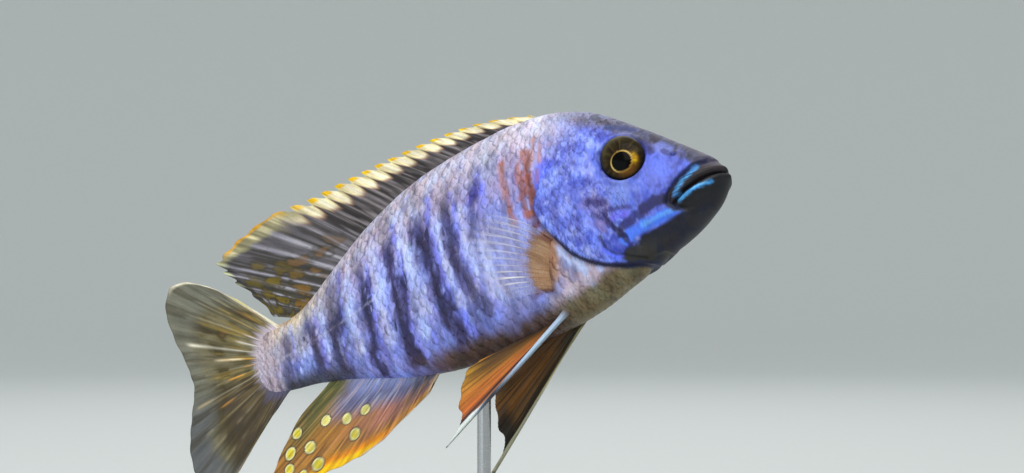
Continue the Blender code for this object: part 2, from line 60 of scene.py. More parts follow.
# The body's lines, as (station, height) or (station, half width), the same as the solids have.
BACK_LINE = (
    (0.0, 0.000), (0.023, 0.023), (0.079, 0.074), (0.145, 0.134), (0.212, 0.190), (0.289, 0.226),
    (0.37, 0.239), (0.50, 0.235), (0.62, 0.215), (0.72, 0.178), (0.80, 0.134), (0.86, 0.095), (0.92, 0.066),
    (0.97, 0.060), (1.02, 0.053),
)
BELLY_LINE = (
    (0.0, -0.032), (0.02, -0.050), (0.074, -0.084), (0.15, -0.113), (0.237, -0.141), (0.311, -0.162),
    (0.40, -0.172), (0.52, -0.171), (0.633, -0.160), (0.74, -0.134), (0.82, -0.107), (0.90, -0.085),
    (0.95, -0.078), (1.02, -0.068),
)
HALF_WIDTH = (
    (0.0, 0.012), (0.012, 0.025), (0.04, 0.038), (0.10, 0.054), (0.16, 0.070), (0.24, 0.083), (0.32, 0.088),
    (0.42, 0.087), (0.54, 0.078), (0.66, 0.061), (0.78, 0.043), (0.88, 0.029), (0.96, 0.019), (1.02, 0.010),
)
WIDEST_LEVEL = (
    (0.0, -0.018), (0.10, -0.008), (0.20, 0.020), (0.35, 0.030), (0.50, 0.025), (0.70, 0.012),
    (1.02, -0.007),
)

# Lines on the side of the body, as (station, height).
MOUTH_LINE = (
    (-0.020, -0.009), (0.005, -0.011), (0.030, -0.017), (0.053, -0.024), (0.074, -0.032), (0.089, -0.040),
    (0.098, -0.047),
)
LIP_FOLD = (
    (0.030, 0.014), (0.050, 0.007), (0.068, -0.002), (0.087, -0.015), (0.101, -0.028), (0.107, -0.043),
    (0.098, -0.056), (0.082, -0.060),
)
GILL_MARGIN = (
    (0.300, 0.300), (0.300, 0.125), (0.322, 0.072), (0.343, 0.030), (0.333, -0.007), (0.315, -0.040),
    (0.298, -0.070), (0.275, -0.092), (0.250, -0.106), (0.220, -0.116), (0.188, -0.120), (0.168, -0.124),
    (0.160, -0.200),
)
CHEEK_BONE = (
    (0.244, 0.052), (0.242, 0.029), (0.243, -0.009), (0.238, -0.053), (0.227, -0.084), (0.207, -0.105),
    (0.179, -0.116), (0.149, -0.113),
)
JAW_EDGE = (
    (-0.030, -0.034), (0.020, -0.036), (0.058, -0.047), (0.085, -0.063), (0.120, -0.071), (0.150, -0.077),
    (0.180, -0.086), (0.205, -0.100), (0.235, -0.126),
)
CHEEK_STRIPE = ((0.084, -0.056), (0.148, -0.063), (0.204, -0.090))
UPPER_LATERAL = (
    (0.330, 0.106), (0.36, 0.120), (0.40, 0.133), (0.45, 0.143), (0.50, 0.146), (0.56, 0.139), (0.63, 0.128),
    (0.70, 0.108), (0.765, 0.085),
)
LOWER_LATERAL = ((0.70, 0.010), (0.80, -0.004), (0.90, -0.014), (0.985, -0.018))
EYE_CENTRE = (0.168, 0.066)
EYE_TALL = 1.17  # its height against its width
EYE_SLANT = math.radians(23)  # how far its top leans back
NOSTRIL = (0.082, 0.044)
PORES = ((0.206, -0.060), (0.195, -0.075), (0.226, -0.036), (0.180, -0.093))


class Side(Enum):
    """The two sides of the fish, each with the sign of its places."""

    LEFT = 1
    RIGHT = -1

    def named(self, stem: str) -> str:
        """Gives the name of a part on this side."""
        return f"{stem}_{self.name.lower()}"


def linear(code: str) -> np.ndarray:
    """Turns an sRGB hex colour into linear red, green and blue."""
    share = np.array([int(code[i:i + 2], 16) for i in (1, 3, 5)]) / 255
    return np.where(share <= 0.04045, share / 12.92, ((share + 0.055) / 1.055) ** 2.4)


def opaque(code: str) -> tuple[float, ...]:
    """Turns an sRGB hex colour into the value of a shader's colour socket."""
    return (*linear(code), 1.0)


def ease(x: np.ndarray, low: float, high: float) -> np.ndarray:
    """0 below low, 1 above high and smooth between, or the other way round where low is the larger."""
    t = np.clip((np.asarray(x, float) - low) / (high - low), 0, 1)
    return t * t * (3 - 2 * t)


def bump(x: np.ndarray, width: float) -> np.ndarray:
    """A smooth hill of height 1 round x = 0."""
    return np.exp(-(np.asarray(x) / width) ** 2)


def glaze(paint: np.ndarray, *layers: tuple[str, np.ndarray]) -> None:
    """Lays glazes over the paint, one after another.

    Args:
        paint: linear colours, one row for each place, changed where they stand.
        layers: the colour of each glaze and its share at each place.
    """
    for colour, share in layers:
        paint += (linear(colour) - paint) * np.clip(share, 0, 1)[:, None]


@dataclass(frozen=True)
class Curve:
    """A smooth curve through keys, held level past both ends."""

    keys: tuple

    def __call__(self, x: np.ndarray) -> np.ndarray:
        """Reads the curve.

        Args:
            x: positions along the keys.

        Returns:
            One value for each position, or one row for each where the keys hold several values.
        """
        at = np.array([key[0] for key in self.keys], float)
        values = np.array([key[1] for key in self.keys], float)
        slopes = np.gradient(values, at, axis=0)
        x = np.clip(np.asarray(x, float), at[0], at[-1])
        i = np.clip(np.searchsorted(at, x, side="right") - 1, 0, len(at) - 2)
        step = at[i + 1] - at[i]
        t = (x - at[i]) / step
        if values.ndim > 1:
            t, step = t[..., None], step[..., None]
        start = (1 + 2 * t) * (1 - t) ** 2 * values[i] + t * (1 - t) ** 2 * step * slopes[i]
        return start + t * t * (3 - 2 * t) * values[i + 1] + t * t * (t - 1) * step * slopes[i + 1]


@dataclass(frozen=True)
class DrawnLine:
    """A line of straight runs drawn on the side of the fish."""

    points: tuple

    def measure(self, s: np.ndarray, z: np.ndarray) -> tuple[np.ndarray, np.ndarray]:
        """Measures places against the line.

        Args:
            s: stations.
            z: heights.

        Returns:
            The distance to the line, positive on the left of its direction as seen with stations to the right
            and heights upwards, and the share of the line's length at the nearest point.
        """
        points = np.array(self.points, float)
        runs = np.linalg.norm(np.diff(points, axis=0), axis=1)
        before = np.concatenate([[0], np.cumsum(runs)])
        best = np.full(np.shape(s), np.inf)
        sign = np.ones(np.shape(s))
        share = np.zeros(np.shape(s))
        for start, end, run, passed in zip(points, points[1:], runs, before):
            along = (end - start) / run
            ds, dz = s - start[0], z - start[1]
            t = np.clip(ds * along[0] + dz * along[1], 0, run)
            distance = np.hypot(ds - t * along[0], dz - t * along[1])
            side = np.sign(along[0] * dz - along[1] * ds)
            closer = distance < best - 1e-9
            best = np.where(closer, distance, best)
            sign = np.where(closer, np.where(side == 0, 1, side), sign)
            share = np.where(closer, (passed + t) / before[-1], share)
        return best * sign, share


@dataclass
class Grain:
    """Smooth random clouds in space, the same in each run."""

    seed: int
    size: int = 32
    table: np.ndarray = field(init=False)

    def __post_init__(self) -> None:
        """Draws the random table."""
        self.table = np.random.default_rng(self.seed).random((self.size,) * 3)

    def __call__(self, places: np.ndarray, grain: Sequence[float], octaves: int = 2) -> np.ndarray:
        """Reads the clouds.

        Args:
            places: points, one row each.
            grain: the size of a cloud along each of the three axes.
            octaves: how many times finer clouds are laid over the first.

        Returns:
            Values from about 0 to 1.
        """
        total, weight = np.zeros(len(places)), 0.0
        for octave in range(octaves):
            share = 0.5 ** octave
            at = places / (np.array(grain) * share) + 7.31 * octave + 100.0
            low = np.floor(at).astype(int)
            t = at - low
            t = t * t * (3 - 2 * t)
            value = np.zeros(len(places))
            for corner in np.ndindex(2, 2, 2):
                weights = np.prod(np.where(corner, t, 1 - t), axis=1)
                i, j, k = ((low + corner) % self.size).T
                value += weights * self.table[i, j, k]
            total += value * share
            weight += share
        return total / weight


def fill_inputs(tree: bpy.types.NodeTree, node: bpy.types.Node, inputs: dict) -> None:
    """Fills a node's inputs.

    Args:
        tree: the node tree that it is in.
        node: the node.
        inputs: values to set or output sockets to link, by the input's name or number.
    """
    for name, value in inputs.items():
        if isinstance(value, bpy.types.NodeSocket):
            tree.links.new(value, node.inputs[name])
        else:
            node.inputs[name].default_value = value


def add_node(tree: bpy.types.NodeTree, kind: str, settings: dict | None = None,
             inputs: dict | None = None) -> bpy.types.Node:
    """Adds one shader node with its settings and links.

    Args:
        tree: the material's node tree.
        kind: the node's type without its ShaderNode prefix.
        settings: the node's own properties.
        inputs: values or output sockets for its inputs.

    Returns:
        The new node.
    """
    node = tree.nodes.new("ShaderNode" + kind)
    for name, value in (settings or {}).items():
        setattr(node, name, value)
    fill_inputs(tree, node, inputs or {})
    return node


class FishPose:
    """Where the fish swims: lifted, nose up and banked, as the solids are."""

    SNOUT_PLACE = (0.044, 0.0, 0.088)
    NOSE_UP = math.radians(21.0)
    BANK = math.radians(14.05)
    TURN = Euler((-BANK, -NOSE_UP, 0.0))

    @classmethod
    def turned(cls, level: np.ndarray) -> np.ndarray:
        """Turns level millimetres, with the nose towards +X, into metres on the stand."""
        return level * MM @ np.array(cls.TURN.to_matrix()).T + np.array(cls.SNOUT_PLACE)

    @classmethod
    def levelled(cls, points: np.ndarray) -> np.ndarray:
        """Turns metres on the stand back into level millimetres."""
        return (points - np.array(cls.SNOUT_PLACE)) @ np.array(cls.TURN.to_matrix()) / MM


def level_mm(place: np.ndarray) -> np.ndarray:
    """Turns (station, side, height) rows into level millimetres with the nose towards +X."""
    return place * np.array((-PLACE_MM, PLACE_MM, PLACE_MM))


def as_place(level: np.ndarray) -> np.ndarray:
    """Turns level millimetres back into (station, side, height) rows."""
    return level / np.array((-PLACE_MM, PLACE_MM, PLACE_MM))


def new_object(name: str, data: bpy.types.ID) -> bpy.types.Object:
    """Links a new object for a mesh, a light or a camera."""
    made = bpy.data.objects.new(name, data)
    bpy.context.scene.collection.objects.link(made)
    return made


def new_piece(name: str, mesh: bpy.types.Mesh) -> bpy.types.Object:
    """Links a new, smoothly shaded object for a mesh."""
    mesh.shade_smooth()
    return new_object(name, mesh)


def as_mesh(name: str, bm: bmesh.types.BMesh) -> bpy.types.Mesh:
    """Writes what bmesh has built into a new mesh."""
    mesh = bpy.data.meshes.new(name)
    bm.to_mesh(mesh)
    bm.free()
    return mesh


def corners_of(mesh: bpy.types.Mesh) -> np.ndarray:
    """Reads a mesh's corners, one row each."""
    corners = np.zeros(len(mesh.vertices) * 3)
    mesh.vertices.foreach_get("co", corners)
    return corners.reshape(-1, 3)


def grid_mesh(name: str, across: int, along: int,
              shape: Callable[[np.ndarray, np.ndarray], np.ndarray]) -> bpy.types.Mesh:
    """Makes a grid of quads and moves its corners.

    Args:
        name: the mesh's name.
        across: how many faces it has along its first share.
        along: how many faces it has along its second share.
        shape: gives the corners' points in metres from their two shares, from 0 to 1.

    Returns:
        The shaped mesh.
    """
    bm = bmesh.new()
    bmesh.ops.create_grid(bm, x_segments=across, y_segments=along, size=1.0)
    mesh = as_mesh(name, bm)
    corners = (corners_of(mesh) + 1) / 2
    mesh.vertices.foreach_set("co", shape(corners[:, 0], corners[:, 1]).ravel())
    return mesh


def store_paint(mesh: bpy.types.Mesh, colours: np.ndarray, alpha: np.ndarray | float = 1.0) -> None:
    """Stores a mesh's paint.

    Args:
        mesh: the mesh.
        colours: linear colours, one row for each corner.
        alpha: how solid the paint is, for all corners or one for each.
    """
    rgba = np.ones((len(colours), 4))
    rgba[:, :3] = np.clip(colours, 0, 1)
    rgba[:, 3] = alpha
    layer = mesh.color_attributes.new(PAINT, "FLOAT_COLOR", "POINT")
    layer.data.foreach_set("color", rgba.ravel())


def finish_piece(piece: bpy.types.Object, material: bpy.types.Material, slot: str, *nodes: str) -> None:
    """Dresses a piece, hangs it on the root and hides the solids that it replaces.

    Args:
        piece: the finished object.
        material: its material.
        slot: the record's material slot; not used.
        nodes: the solids that it replaces.
    """
    piece.data.materials.clear()
    piece.data.materials.append(material)
    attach(piece, "root")
    if nodes:
        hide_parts(*nodes)
    log.info("%s: %d faces", piece.name, len(piece.data.polygons))


class Recipe:
    """The nodes of one new material, added round its principled shader."""

    def __init__(self, name: str) -> None:
        """Starts the material."""
        self.made = bpy.data.materials.new(name)
        self.made.use_nodes = True
        self.tree = self.made.node_tree
        self.places = self.node("TexCoord", output="Object")

    def node(self, kind: str, inputs: dict | None = None, output: str | int = 0,
             **settings: str) -> bpy.types.NodeSocket:
        """Adds a node.

        Args:
            kind: the node's type without its ShaderNode prefix.
            inputs: values or output sockets for its inputs.
            output: the output to give back.
            settings: the node's own properties.

        Returns:
            One output socket of the new node.
        """
        return add_node(self.tree, kind, settings, inputs).outputs[output]

    def noise(self, vector: bpy.types.NodeSocket, size_mm: float, **inputs: float) -> bpy.types.NodeSocket:
        """Adds a noise with grains of a size in millimetres."""
        return self.node("TexNoise", {"Vector": vector, "Scale": 1 / (size_mm * MM), **inputs})

    def spread(self, value: bpy.types.NodeSocket, span: tuple[float, float],
               reach: tuple[float, float]) -> bpy.types.NodeSocket:
        """Spreads a span of values over the reach of another, held at its ends."""
        keys = ("From Min", "From Max", "To Min", "To Max")
        return self.node("MapRange", {"Value": value, **dict(zip(keys, span + reach))})

    def relief(self, height: bpy.types.NodeSocket, depth_mm: float, strength: float) -> bpy.types.NodeSocket:
        """Turns heights from 0 to 1 into the normals of a relief of a depth in millimetres."""
        return self.node("Bump", {"Height": height, "Distance": depth_mm * MM, "Strength": strength})

    def finish(self, inputs: dict) -> bpy.types.Material:
        """Fills the shader's inputs and gives the material."""
        fill_inputs(self.tree, self.tree.nodes["Principled BSDF"], inputs)
        return self.made


@dataclass(frozen=True)
class PaintedResin:
    """Cast resin, sprayed and brushed with pigment and sealed with satin varnish.

    The pigment lies in fine specks, and the varnish gives a soft, broad gloss that breaks up over the scales.
    The specks are stretched along the fish's axes, and the clouds shimmer between the two tints.
    """

    name: str
    speck_mm: float = 0.45
    speck_depth: float = 0.16
    cloud_mm: float = 2.6
    cloud_depth: float = 0.10
    skin_mm: float = 0.30
    skin_height_mm: float = 0.035
    roughness: tuple[float, float] = (0.42, 0.60)
    specular: float = 0.28
    coat: float = 0.07
    coat_roughness: float = 0.24
    clear: bool = False
    stretch: tuple[float, float, float] = (1.0, 1.0, 1.0)
    warm: tuple[float, float, float] = (1.0, 1.0, 1.0)
    cool: tuple[float, float, float] = (1.0, 1.0, 1.0)

    def material(self) -> bpy.types.Material:
        """Builds the material."""
        work = Recipe(self.name)
        paint = add_node(work.tree, "Attribute", {"attribute_name": PAINT})
        turned = work.node("Mapping", {
            "Vector": work.places, "Rotation": tuple(FishPose.TURN), "Scale": self.stretch,
        }, vector_type="TEXTURE")
        specks = work.noise(turned, self.speck_mm, Detail=3.0, Roughness=0.6)
        clouds = work.noise(turned, self.cloud_mm, Detail=2.0)
        shade = work.spread(specks, (0.32, 0.68), (1 - self.speck_depth, 1 + self.speck_depth))
        tone = work.spread(clouds, (0.30, 0.70), (1 - self.cloud_depth, 1 + self.cloud_depth))
        both = work.node("Math", {0: shade, 1: tone}, operation="MULTIPLY")
        colour = work.node("VectorMath", {0: paint.outputs["Color"], "Scale": both}, operation="SCALE")
        hue = work.node("MixRGB", {
            "Fac": work.spread(clouds, (0.38, 0.62), (0.0, 1.0)), 1: (*self.warm, 1.0), 2: (*self.cool, 1.0),
        })
        inputs = {
            "Base Color": work.node("VectorMath", {0: colour, 1: hue}, operation="MULTIPLY"),
            "Roughness": work.spread(specks, (0.0, 1.0), self.roughness),
            "IOR": 1.50, "Specular IOR Level": self.specular,
            "Coat Weight": self.coat, "Coat Roughness": self.coat_roughness,
            "Normal": work.relief(work.noise(turned, self.skin_mm, Detail=2.0), self.skin_height_mm, 0.8),
        }
        if self.clear:
            inputs["Alpha"] = paint.outputs["Alpha"]
        return work.finish(inputs)


@dataclass(frozen=True)
class BlackAcrylic:
    """Cast acrylic sheet, cut and flame-eased: near black, satin, with faint polishing haze."""

    name: str = "satin_black_acrylic"
    colour: str = "#17171a"
    haze_colour: str = "#202024"
    haze_mm: float = 9.0
    grit_mm: float = 0.5
    grit_height_mm: float = 0.004
    roughness: tuple[float, float] = (0.17, 0.30)

    def material(self) -> bpy.types.Material:
        """Builds the material."""
        work = Recipe(self.name)
        haze = work.noise(work.places, self.haze_mm, Detail=5.0, Roughness=0.65)
        grit = work.noise(work.places, self.grit_mm)
        mix = {"Fac": haze, 1: opaque(self.colour), 2: opaque(self.haze_colour)}
        return work.finish({
            "Base Color": work.node("MixRGB", mix),
            "Roughness": work.spread(haze, (0.3, 0.7), self.roughness), "IOR": 1.49,
            "Normal": work.relief(grit, self.grit_height_mm, 0.5),
        })


@dataclass(frozen=True)
class BrushedSteel:
    """Stainless rod, turned and brushed round: bright, with fine rings that spread its highlights."""

    name: str = "brushed_steel"
    colour: str = "#b9bbbd"
    line_mm: float = 0.25
    line_height_mm: float = 0.01
    roughness: tuple[float, float] = (0.22, 0.40)

    def material(self) -> bpy.types.Material:
        """Builds the material."""
        work = Recipe(self.name)
        rings = work.node("Mapping", {"Vector": work.places, "Scale": (0.05, 0.05, 1.0)})
        lines = work.noise(rings, self.line_mm, Detail=4.0)
        return work.finish({
            "Base Color": opaque(self.colour), "Metallic": 1.0,
            "Roughness": work.spread(lines, (0.3, 0.7), self.roughness),
            "Normal": work.relief(lines, self.line_height_mm, 0.5),
        })


@dataclass(frozen=True)
class MattPaper:
    """Seamless studio paper: pale, matt and even."""

    name: str = "studio_paper"
    colour: str = "#d3d8d7"
    fibre_mm: float = 3.0

    def material(self) -> bpy.types.Material:
        """Builds the material."""
        work = Recipe(self.name)
        fibres = work.noise(work.places, self.fibre_mm)
        tone = work.spread(fibres, (0.0, 1.0), (0.985, 1.015))
        colour = work.node("VectorMath", {0: tuple(linear(self.colour)), "Scale": tone}, operation="SCALE")
        return work.finish({"Base Color": colour, "Roughness": 0.9})


@dataclass(frozen=True)
class Stroke:
    """A brush stroke along a line on the side of the fish. Widths are half widths, in standard lengths."""

    colour: str
    points: tuple
    width: float
    strength: float = 1.0
    soft: float = 0.5
    ragged: float = 0.35
    beyond: float = 0.0  # the stroke starts this far to the left of its line
    fade: float = 0.0  # the share of its length over which it comes up


def dot(colour: str, s: float, z: float, width: float, strength: float = 1.0, soft: float = 0.7,
        ragged: float = 0.4) -> Stroke:
    """A round dab of colour."""
    return Stroke(colour, ((s, z), (s + 1e-4, z)), width, strength, soft, ragged)


# The dark bars of the flank, from the front: lines, half widths and strengths.
BAR_LINES = (
    ((0.463, 0.145), (0.457, 0.120), (0.465, 0.080), (0.476, 0.030)),
    ((0.530, 0.135), (0.524, 0.110), (0.522, 0.060), (0.520, 0.010), (0.507, -0.050), (0.490, -0.100)),
    ((0.588, 0.145), (0.589, 0.130), (0.592, 0.100), (0.579, 0.045), (0.579, -0.005), (0.573, -0.050),
     (0.562, -0.100), (0.552, -0.130)),
    ((0.671, 0.130), (0.670, 0.110), (0.663, 0.070), (0.657, 0.020), (0.664, -0.040), (0.671, -0.085),
     (0.660, -0.125)),
    ((0.749, 0.098), (0.743, 0.080), (0.738, 0.040), (0.738, 0.000), (0.742, -0.050), (0.742, -0.120)),
    ((0.812, 0.095), (0.815, 0.040), (0.818, 0.000), (0.822, -0.050), (0.820, -0.095)),
    ((0.886, 0.050), (0.880, 0.010), (0.878, -0.030), (0.880, -0.065)),
    ((0.942, 0.040), (0.938, 0.000), (0.940, -0.045)),
)
BAR_WIDTHS = (0.011, 0.013, 0.0165, 0.0140, 0.0130, 0.013, 0.014, 0.011)
BAR_STRENGTHS = (0.70, 0.82, 1.00, 1.00, 0.98, 0.75, 0.75, 0.45)


class Markings:
    """The colours of the body, laid like glazes: grounds first, then bars, strokes and dabs."""

    HEAD = (
        dot("#6c80ee", 0.118, 0.018, 0.036, 0.8, ragged=0.9),
        dot("#8098ea", 0.180, -0.002, 0.026, 0.7, ragged=1.0),
        Stroke("#8496f0", ((0.108, 0.070), (0.090, 0.058)), 0.0085, 0.6, 0.9, 1.3),
        Stroke("#34357a", ((0.129, 0.088), (0.118, 0.060)), 0.0055, 0.8, ragged=0.9),
        Stroke("#34357a", ((0.098, 0.058), (0.090, 0.048)), 0.0040, 0.7, ragged=0.9),
        Stroke("#39467c", ((0.190, 0.141), (0.168, 0.132), (0.147, 0.124)), 0.005, 0.85, ragged=1.0),
        Stroke("#3d3f88", ((0.150, 0.020), (0.136, 0.034)), 0.005, 0.6, ragged=1.0),
        Stroke("#8478b4", ((0.236, 0.000), (0.222, -0.014), (0.228, -0.040)), 0.016, 0.75, ragged=1.0),
        Stroke("#37357c", ((0.240, 0.004), (0.224, -0.002)), 0.0045, 0.7, ragged=1.1),
        Stroke("#37357c", ((0.236, -0.022), (0.219, -0.034), (0.216, -0.048)), 0.0055, 0.75, ragged=1.1),
        Stroke("#2b2c5e", ((0.098, -0.036), (0.125, -0.033), (0.148, -0.041)), 0.0105, 0.95, 0.35, 0.9),
        Stroke("#30306c", ((0.150, -0.043), (0.176, -0.051), (0.192, -0.055)), 0.0080, 0.90, 0.35, 1.0),
        Stroke("#4d7dfb", ((0.082, -0.058), (0.105, -0.059), (0.135, -0.062), (0.160, -0.067),
                           (0.184, -0.073), (0.199, -0.078)), 0.0090, 1.0, 0.35, 0.6),
        Stroke("#5fa4ff", ((0.086, -0.057), (0.130, -0.060), (0.160, -0.066)), 0.0036, 0.9, 0.6, 0.9),
        dot("#8b9dff", 0.284, 0.004, 0.052, 0.26, ragged=1.2),
        Stroke("#38347a", ((0.238, 0.004), (0.216, -0.006)), 0.0070, 0.85, 0.5, 0.8),
        Stroke("#423c84", ((0.220, -0.022), (0.196, -0.025), (0.172, -0.028)), 0.0046, 0.75, 0.5, 0.9),
        Stroke("#2f2b66", ((0.217, -0.028), (0.212, -0.048)), 0.0052, 0.85, 0.5, 0.8),
        Stroke("#6f6cea", ((0.204, -0.036), (0.182, -0.038)), 0.0064, 0.92, 0.5, 0.6),
        # Painted shade in two pore pits, which the skin also dents.
        Stroke("#242250", ((0.211, -0.052), (0.203, -0.068)), 0.0046, 0.92, 0.35, 0.8),
        Stroke("#242250", ((0.201, -0.064), (0.194, -0.082)), 0.0044, 0.90, 0.35, 0.8),
        Stroke("#262c5c", ((0.238, -0.060), (0.234, -0.082), (0.224, -0.096), (0.206, -0.101)), 0.0028, 0.8,
               0.5, 0.7),
        Stroke("#6478ff", ((0.240, -0.084), (0.226, -0.101), (0.205, -0.107), (0.178, -0.105)), 0.0034, 0.9,
               0.5, 0.6),
        # Painted shade in the lip fold and the corner of the mouth, over the fold's groove in the skin.
        Stroke("#1d203f", LIP_FOLD, 0.0062, 0.95, 0.5, 0.5),
        dot("#191a34", 0.099, -0.043, 0.013, 0.95, 0.5),
    )
    MARGIN = (
        Stroke("#6c8aff", GILL_MARGIN[4:10], 0.0026, 0.60, 0.6, 0.9, -0.0075),
        Stroke("#262c5c", GILL_MARGIN[2:6], 0.0030, 0.55, 0.7, 0.8, -0.0010),
        Stroke("#171c3c", GILL_MARGIN[5:12], 0.0036, 0.95, 0.5, 0.45, -0.0010),
    )
    MOUTH = (
        Stroke("#4b93da", ((0.047, 0.001), (0.060, -0.006), (0.073, -0.015), (0.083, -0.025),
                           (0.088, -0.032)), 0.0066, 1.0, 0.6, 0.75),
        Stroke("#5cb2ea", ((0.056, -0.005), (0.071, -0.015), (0.082, -0.026)), 0.0026, 0.8, 0.7, 0.9),
        Stroke("#469ce4", ((0.028, -0.028), (0.042, -0.032), (0.060, -0.036), (0.076, -0.041),
                           (0.086, -0.046)), 0.0038, 1.0, 0.5, 0.75),
        Stroke("#7cc8ff", ((0.034, -0.029), (0.060, -0.035)), 0.0018, 0.8, 0.7, 0.6),
    )
    FLANK = (
        dot("#6875ff", 0.303, 0.085, 0.026, 0.75),
        dot("#9fa6e6", 0.350, 0.000, 0.030, 0.6),
        # A painted shadow of the breast fin on the flank.
        dot("#7c80be", 0.445, 0.060, 0.034, 0.55),
        dot("#8380ac", 0.412, 0.038, 0.030, 0.60, ragged=1.0),
        dot("#a59fb2", 0.828, 0.048, 0.028, 0.45, ragged=1.0),
        Stroke("#6673fd", ((0.306, 0.100), (0.318, 0.055), (0.316, 0.020)), 0.018, 0.80, ragged=0.7),
        Stroke("#7e4a62", ((0.345, 0.022), (0.338, 0.004)), 0.010, 0.85, ragged=1.0),
        Stroke("#a55f44", ((0.346, 0.150), (0.345, 0.110), (0.343, 0.070), (0.345, 0.030)), 0.0080, 0.85,
               0.7, 1.3),
        Stroke("#8e4e3c", ((0.342, 0.100), (0.342, 0.050)), 0.0046, 0.75, 0.7, 1.2),
        Stroke("#b46a50", ((0.361, 0.125), (0.359, 0.080), (0.358, 0.030)), 0.0074, 0.82, 0.7, 1.3),
        Stroke("#b06f56", ((0.395, 0.148), (0.397, 0.100), (0.391, 0.070), (0.385, 0.022)), 0.0062, 0.84,
               0.7, 1.2),
        Stroke("#c78d7c", ((0.328, 0.172), (0.331, 0.128)), 0.0036, 0.75, 0.7, 1.1),
        Stroke("#c58c7e", ((0.311, 0.165), (0.317, 0.118)), 0.0038, 0.75, 0.7, 1.1),
        dot("#c98c6a", 0.295, 0.146, 0.005, 0.8),
        Stroke("#9c5f50", ((0.324, 0.100), (0.326, 0.080)), 0.0046, 0.7, 0.7, 1.1),
        dot("#5b4a80", 0.308, 0.066, 0.006, 0.7),
        Stroke("#bccff4", ((0.322, -0.052), (0.306, -0.078), (0.284, -0.104)), 0.0100, 0.75, ragged=1.6),
        Stroke("#6a6292", ((0.325, -0.078), (0.306, -0.106)), 0.0080, 0.60, ragged=1.5),
        Stroke("#b48b6a", ((0.338, -0.026), (0.331, -0.048), (0.339, -0.076), (0.354, -0.102)), 0.0140, 0.96,
               0.4, 0.7),
        dot("#7a4650", 0.352, -0.012, 0.0095, 0.85, ragged=1.0),
        dot("#6e3f30", 0.378, -0.108, 0.0090, 0.85, ragged=1.1),
        dot("#45449c", 0.457, 0.112, 0.015, 0.85, ragged=1.0),
        Stroke("#45449c", ((0.450, 0.140), (0.468, 0.095)), 0.006, 0.7, ragged=1.0),
        Stroke("#7f88ff", ((0.440, 0.120), (0.441, 0.085)), 0.0048, 0.8, ragged=0.9),
    )
    PALE = (  # stripes between the bars: where they start and end, and half widths
        ((0.461, 0.020), (0.458, -0.085), 0.014), ((0.492, 0.090), (0.488, -0.060), 0.010),
        ((0.546, 0.080), (0.540, -0.070), 0.012), ((0.622, 0.060), (0.622, -0.090), 0.014),
        ((0.636, 0.150), (0.630, 0.060), 0.011), ((0.708, 0.120), (0.704, -0.080), 0.011),
        ((0.780, 0.080), (0.776, -0.070), 0.009), ((0.850, 0.030), (0.850, -0.050), 0.008),
    )

    def __init__(self, form: "BodyForm") -> None:
        """Keeps the form of the body and draws the clouds that make the paint uneven."""
        self.form = form
        self.clouds = Grain(11)
        self.flecks = Grain(12)
        self.edges = Grain(13)
        self.margin = DrawnLine(GILL_MARGIN)
        self.jaw = DrawnLine(JAW_EDGE)
        self.mouth = DrawnLine(MOUTH_LINE)
        self.ragged = np.zeros(0)

    def stroke(self, paint: np.ndarray, place: np.ndarray, stroke: Stroke) -> None:
        """Paints one stroke, its edge made ragged by the clouds.

        Args:
            paint: linear colours, one row for each place, changed where they stand.
            place: (station, side, height) rows.
            stroke: the stroke.
        """
        distance, share = DrawnLine(stroke.points).measure(place[:, 0], place[:, 2])
        reach = np.abs(distance - stroke.beyond) / stroke.width + self.ragged * stroke.ragged
        cover = stroke.strength * (1 - ease(reach, 1 - stroke.soft, 1 + stroke.soft))
        glaze(paint, (stroke.colour, cover * ease(share, -0.01, stroke.fade) if stroke.fade else cover))

    def colours(self, place: np.ndarray) -> np.ndarray:
        """Paints places on the body.

        Args:
            place: (station, side, height) rows.

        Returns:
            Linear colours, one row for each.
        """
        s, z = place[:, 0], place[:, 2]
        self.ragged = (self.edges(place, (0.008, 0.030, 0.012), 3) - 0.5) * 2
        back, belly = self.form.back(s), self.form.belly(s)
        rise = (z - belly) / (back - belly)
        margin, _ = self.margin.measure(s, z)
        soft = 0.003 + 0.035 * ease(z, 0.03, 0.12)
        clouds = self.clouds(place, (0.035, 0.05, 0.05), 3)
        ahead = 1 - ease(margin + soft * 1.2 * (clouds - 0.5), -soft, soft * 0.8)
        streaks = self.flecks(place, (0.010, 0.03, 0.055), 3)
        paint = np.tile(linear("#8c93d2"), (len(place), 1))
        self.flank(paint, place, rise, clouds, streaks)
        self.head(paint, place, ahead, clouds)
        for stroke in self.MARGIN:
            self.stroke(paint, place, stroke)
        return paint

